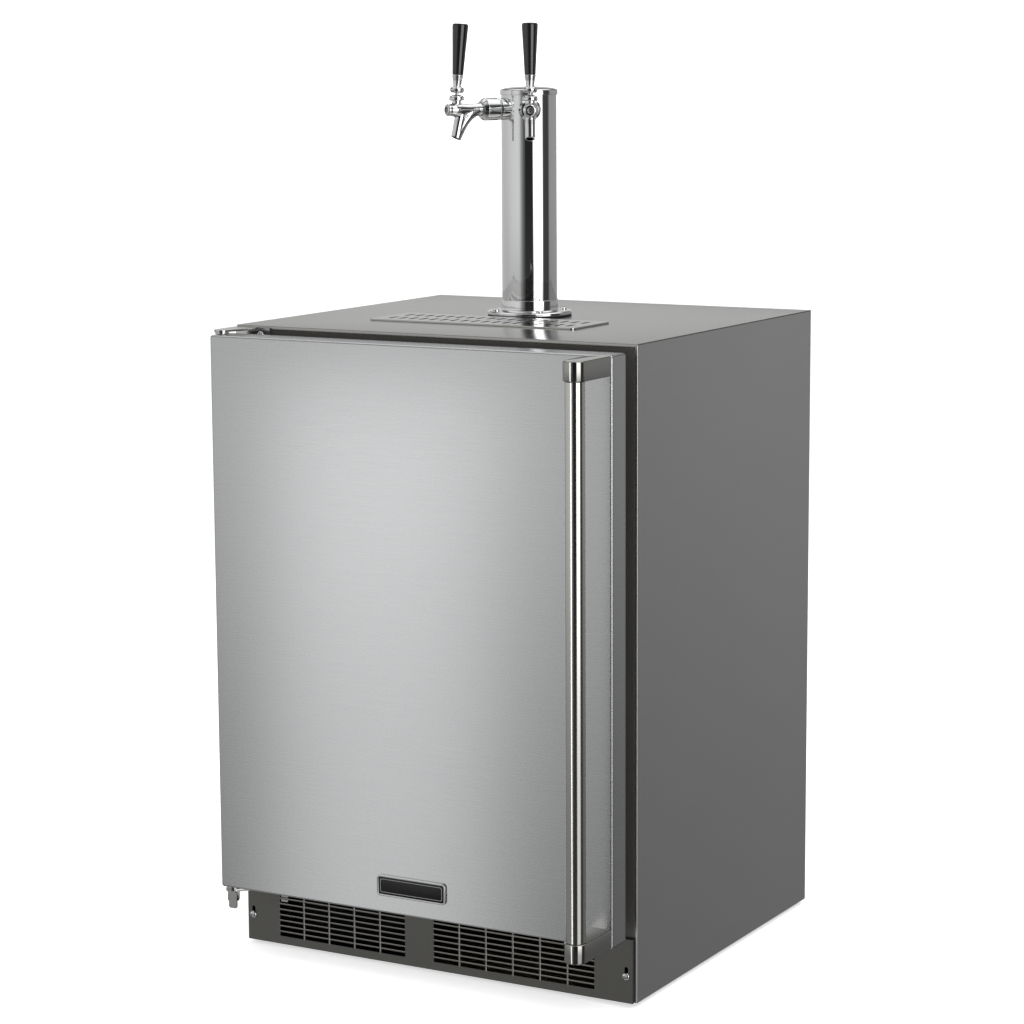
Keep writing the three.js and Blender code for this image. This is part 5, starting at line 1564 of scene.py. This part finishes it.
def make_world():
    """Studio walls as seen in reflections: soft boxes left and right, dark between them."""
    world = bpy.data.worlds.new("studio")
    world.use_nodes = True
    bpy.context.scene.world = world
    tree = world.node_tree
    place = tree.nodes.new("ShaderNodeTexCoord").outputs["Generated"]
    split = tree.nodes.new("ShaderNodeSeparateXYZ")
    tree.links.new(place, split.inputs["Vector"])

    def math_node(operation, *values):
        node = tree.nodes.new("ShaderNodeMath")
        node.operation = operation
        for i, value in enumerate(values):
            if isinstance(value, (int, float)):
                node.inputs[i].default_value = value
            else:
                tree.links.new(value, node.inputs[i])
        return node.outputs[0]

    ahead = math_node("MULTIPLY", split.outputs["Y"], -1.0)
    angle = math_node("ARCTAN2", split.outputs["X"], ahead)
    azimuth = math_node("MULTIPLY_ADD", angle, 1 / (2 * math.pi), 0.5)
    level = studio_ramp(tree, azimuth, WALLS_LEVEL)
    low = studio_ramp(tree, azimuth, WALLS_LOW)
    high = studio_ramp(tree, azimuth, WALLS_HIGH)

    def mixed(first, second, factor, blend="MIX"):
        mix = tree.nodes.new("ShaderNodeMix")
        mix.data_type = "RGBA"
        mix.blend_type = blend
        if isinstance(factor, float):
            mix.inputs[0].default_value = factor
        else:
            tree.links.new(factor, mix.inputs[0])
        tree.links.new(first, mix.inputs[6])
        tree.links.new(second, mix.inputs[7])
        return mix.outputs[2]

    def between(first, second, start, end):
        """`first` below the elevation `start`, `second` above `end`, in degrees."""
        spread = tree.nodes.new("ShaderNodeMapRange")
        spread.interpolation_type = "SMOOTHSTEP"
        spread.inputs["From Min"].default_value = math.sin(math.radians(start))
        spread.inputs["From Max"].default_value = math.sin(math.radians(end))
        tree.links.new(split.outputs["Z"], spread.inputs["Value"])
        return mixed(first, second, spread.outputs["Result"])

    whole = between(between(low, level, -20, -2), high, 14, 40)
    elevation = math_node("MULTIPLY_ADD", math_node("ARCSINE", split.outputs["Z"]), 1 / math.pi, 0.5)
    bands = studio_ramp(tree, elevation, BANDS, 180)
    background = tree.nodes["Background"]
    tree.links.new(mixed(whole, bands, 1.0, "MULTIPLY"), background.inputs["Color"])
    background.inputs["Strength"].default_value = 1.0


def area_light(name, place, target, size, power, mirrored=False):
    """A soft box that lights surfaces, and is seen in them only where `mirrored` says so."""
    data = bpy.data.lights.new(name, "AREA")
    data.shape = "RECTANGLE"
    data.size, data.size_y = size
    data.energy = power
    light = bpy.data.objects.new(name, data)
    light.location = place
    light.rotation_mode = "QUATERNION"
    light.rotation_quaternion = (Vector(place) - Vector(target)).to_track_quat("Z", "Y")
    light.visible_glossy = mirrored
    light.visible_camera = False
    bpy.context.scene.collection.objects.link(light)
    return light


def light_only(lamp, *names):
    """Let the lamp light the named pieces alone."""
    lit = bpy.data.collections.new(f"lit_by_{lamp.name}")
    for name in names:
        lit.objects.link(bpy.data.objects[name])
    lamp.light_linking.receiver_collection = lit


# Name, place, target, size and power. The strips are the long reflections in the door and its handle.
SOFT_BOXES = (
    ("softbox_top", (0.2, -0.3, 3.6), (0, 0, 0.4), (3.2, 3.2), 55),
    ("softbox_left", (-3.2, -2.2, 2.2), (0, 0, 0.6), (2.0, 2.4), 30),
    ("softbox_front", (1.6, -3.6, 2.4), (0, 0, 0.6), (2.0, 2.0), 18),
)
STRIPS = (
    ("door_strip", (-0.60, -1.20, 0.02), (0.04, -0.26, 0.02), (0.46, 1.5), 1.4, ["door_shell"]),
    ("rail_strip", (-0.16, -1.86, 0.45), (0.28, -0.31, 0.45), (0.30, 2.4), 4.5,
     ["handle_rail", "handle_bracket_upper_block", "handle_bracket_lower_block"]),
)


def make_studio():
    make_stage()
    make_world()
    for name, place, target, size, power in SOFT_BOXES:
        area_light(name, place, target, size, power)
    for name, place, target, size, power, lit_pieces in STRIPS:
        light_only(area_light(name, place, target, size, power, mirrored=True), *lit_pieces)
    bpy.context.scene.view_settings.view_transform = "Standard"


# ---------------------------------------------------------------- the whole object

make_camera()
for side_label in SIDES:
    side_panel(side_label)
for make in (
    top_panel, back_panel, face_frame, liner, kickplate, kick_screws, door_skin, door_liner, door_gasket,
    handle, badge, upper_hinge, lower_hinge, drip_tray, drip_grille, tower, taps, keg_plate, evaporator,
    control_box, knob, legs, compressor, condenser, fan, power_gland,
):
    make()
dress_cad_node("base_pan", dark_sheet, 0.4)
dress_cad_node("cabinet_insulation", foam)
dress_cad_node("door_core", foam)
make_studio()
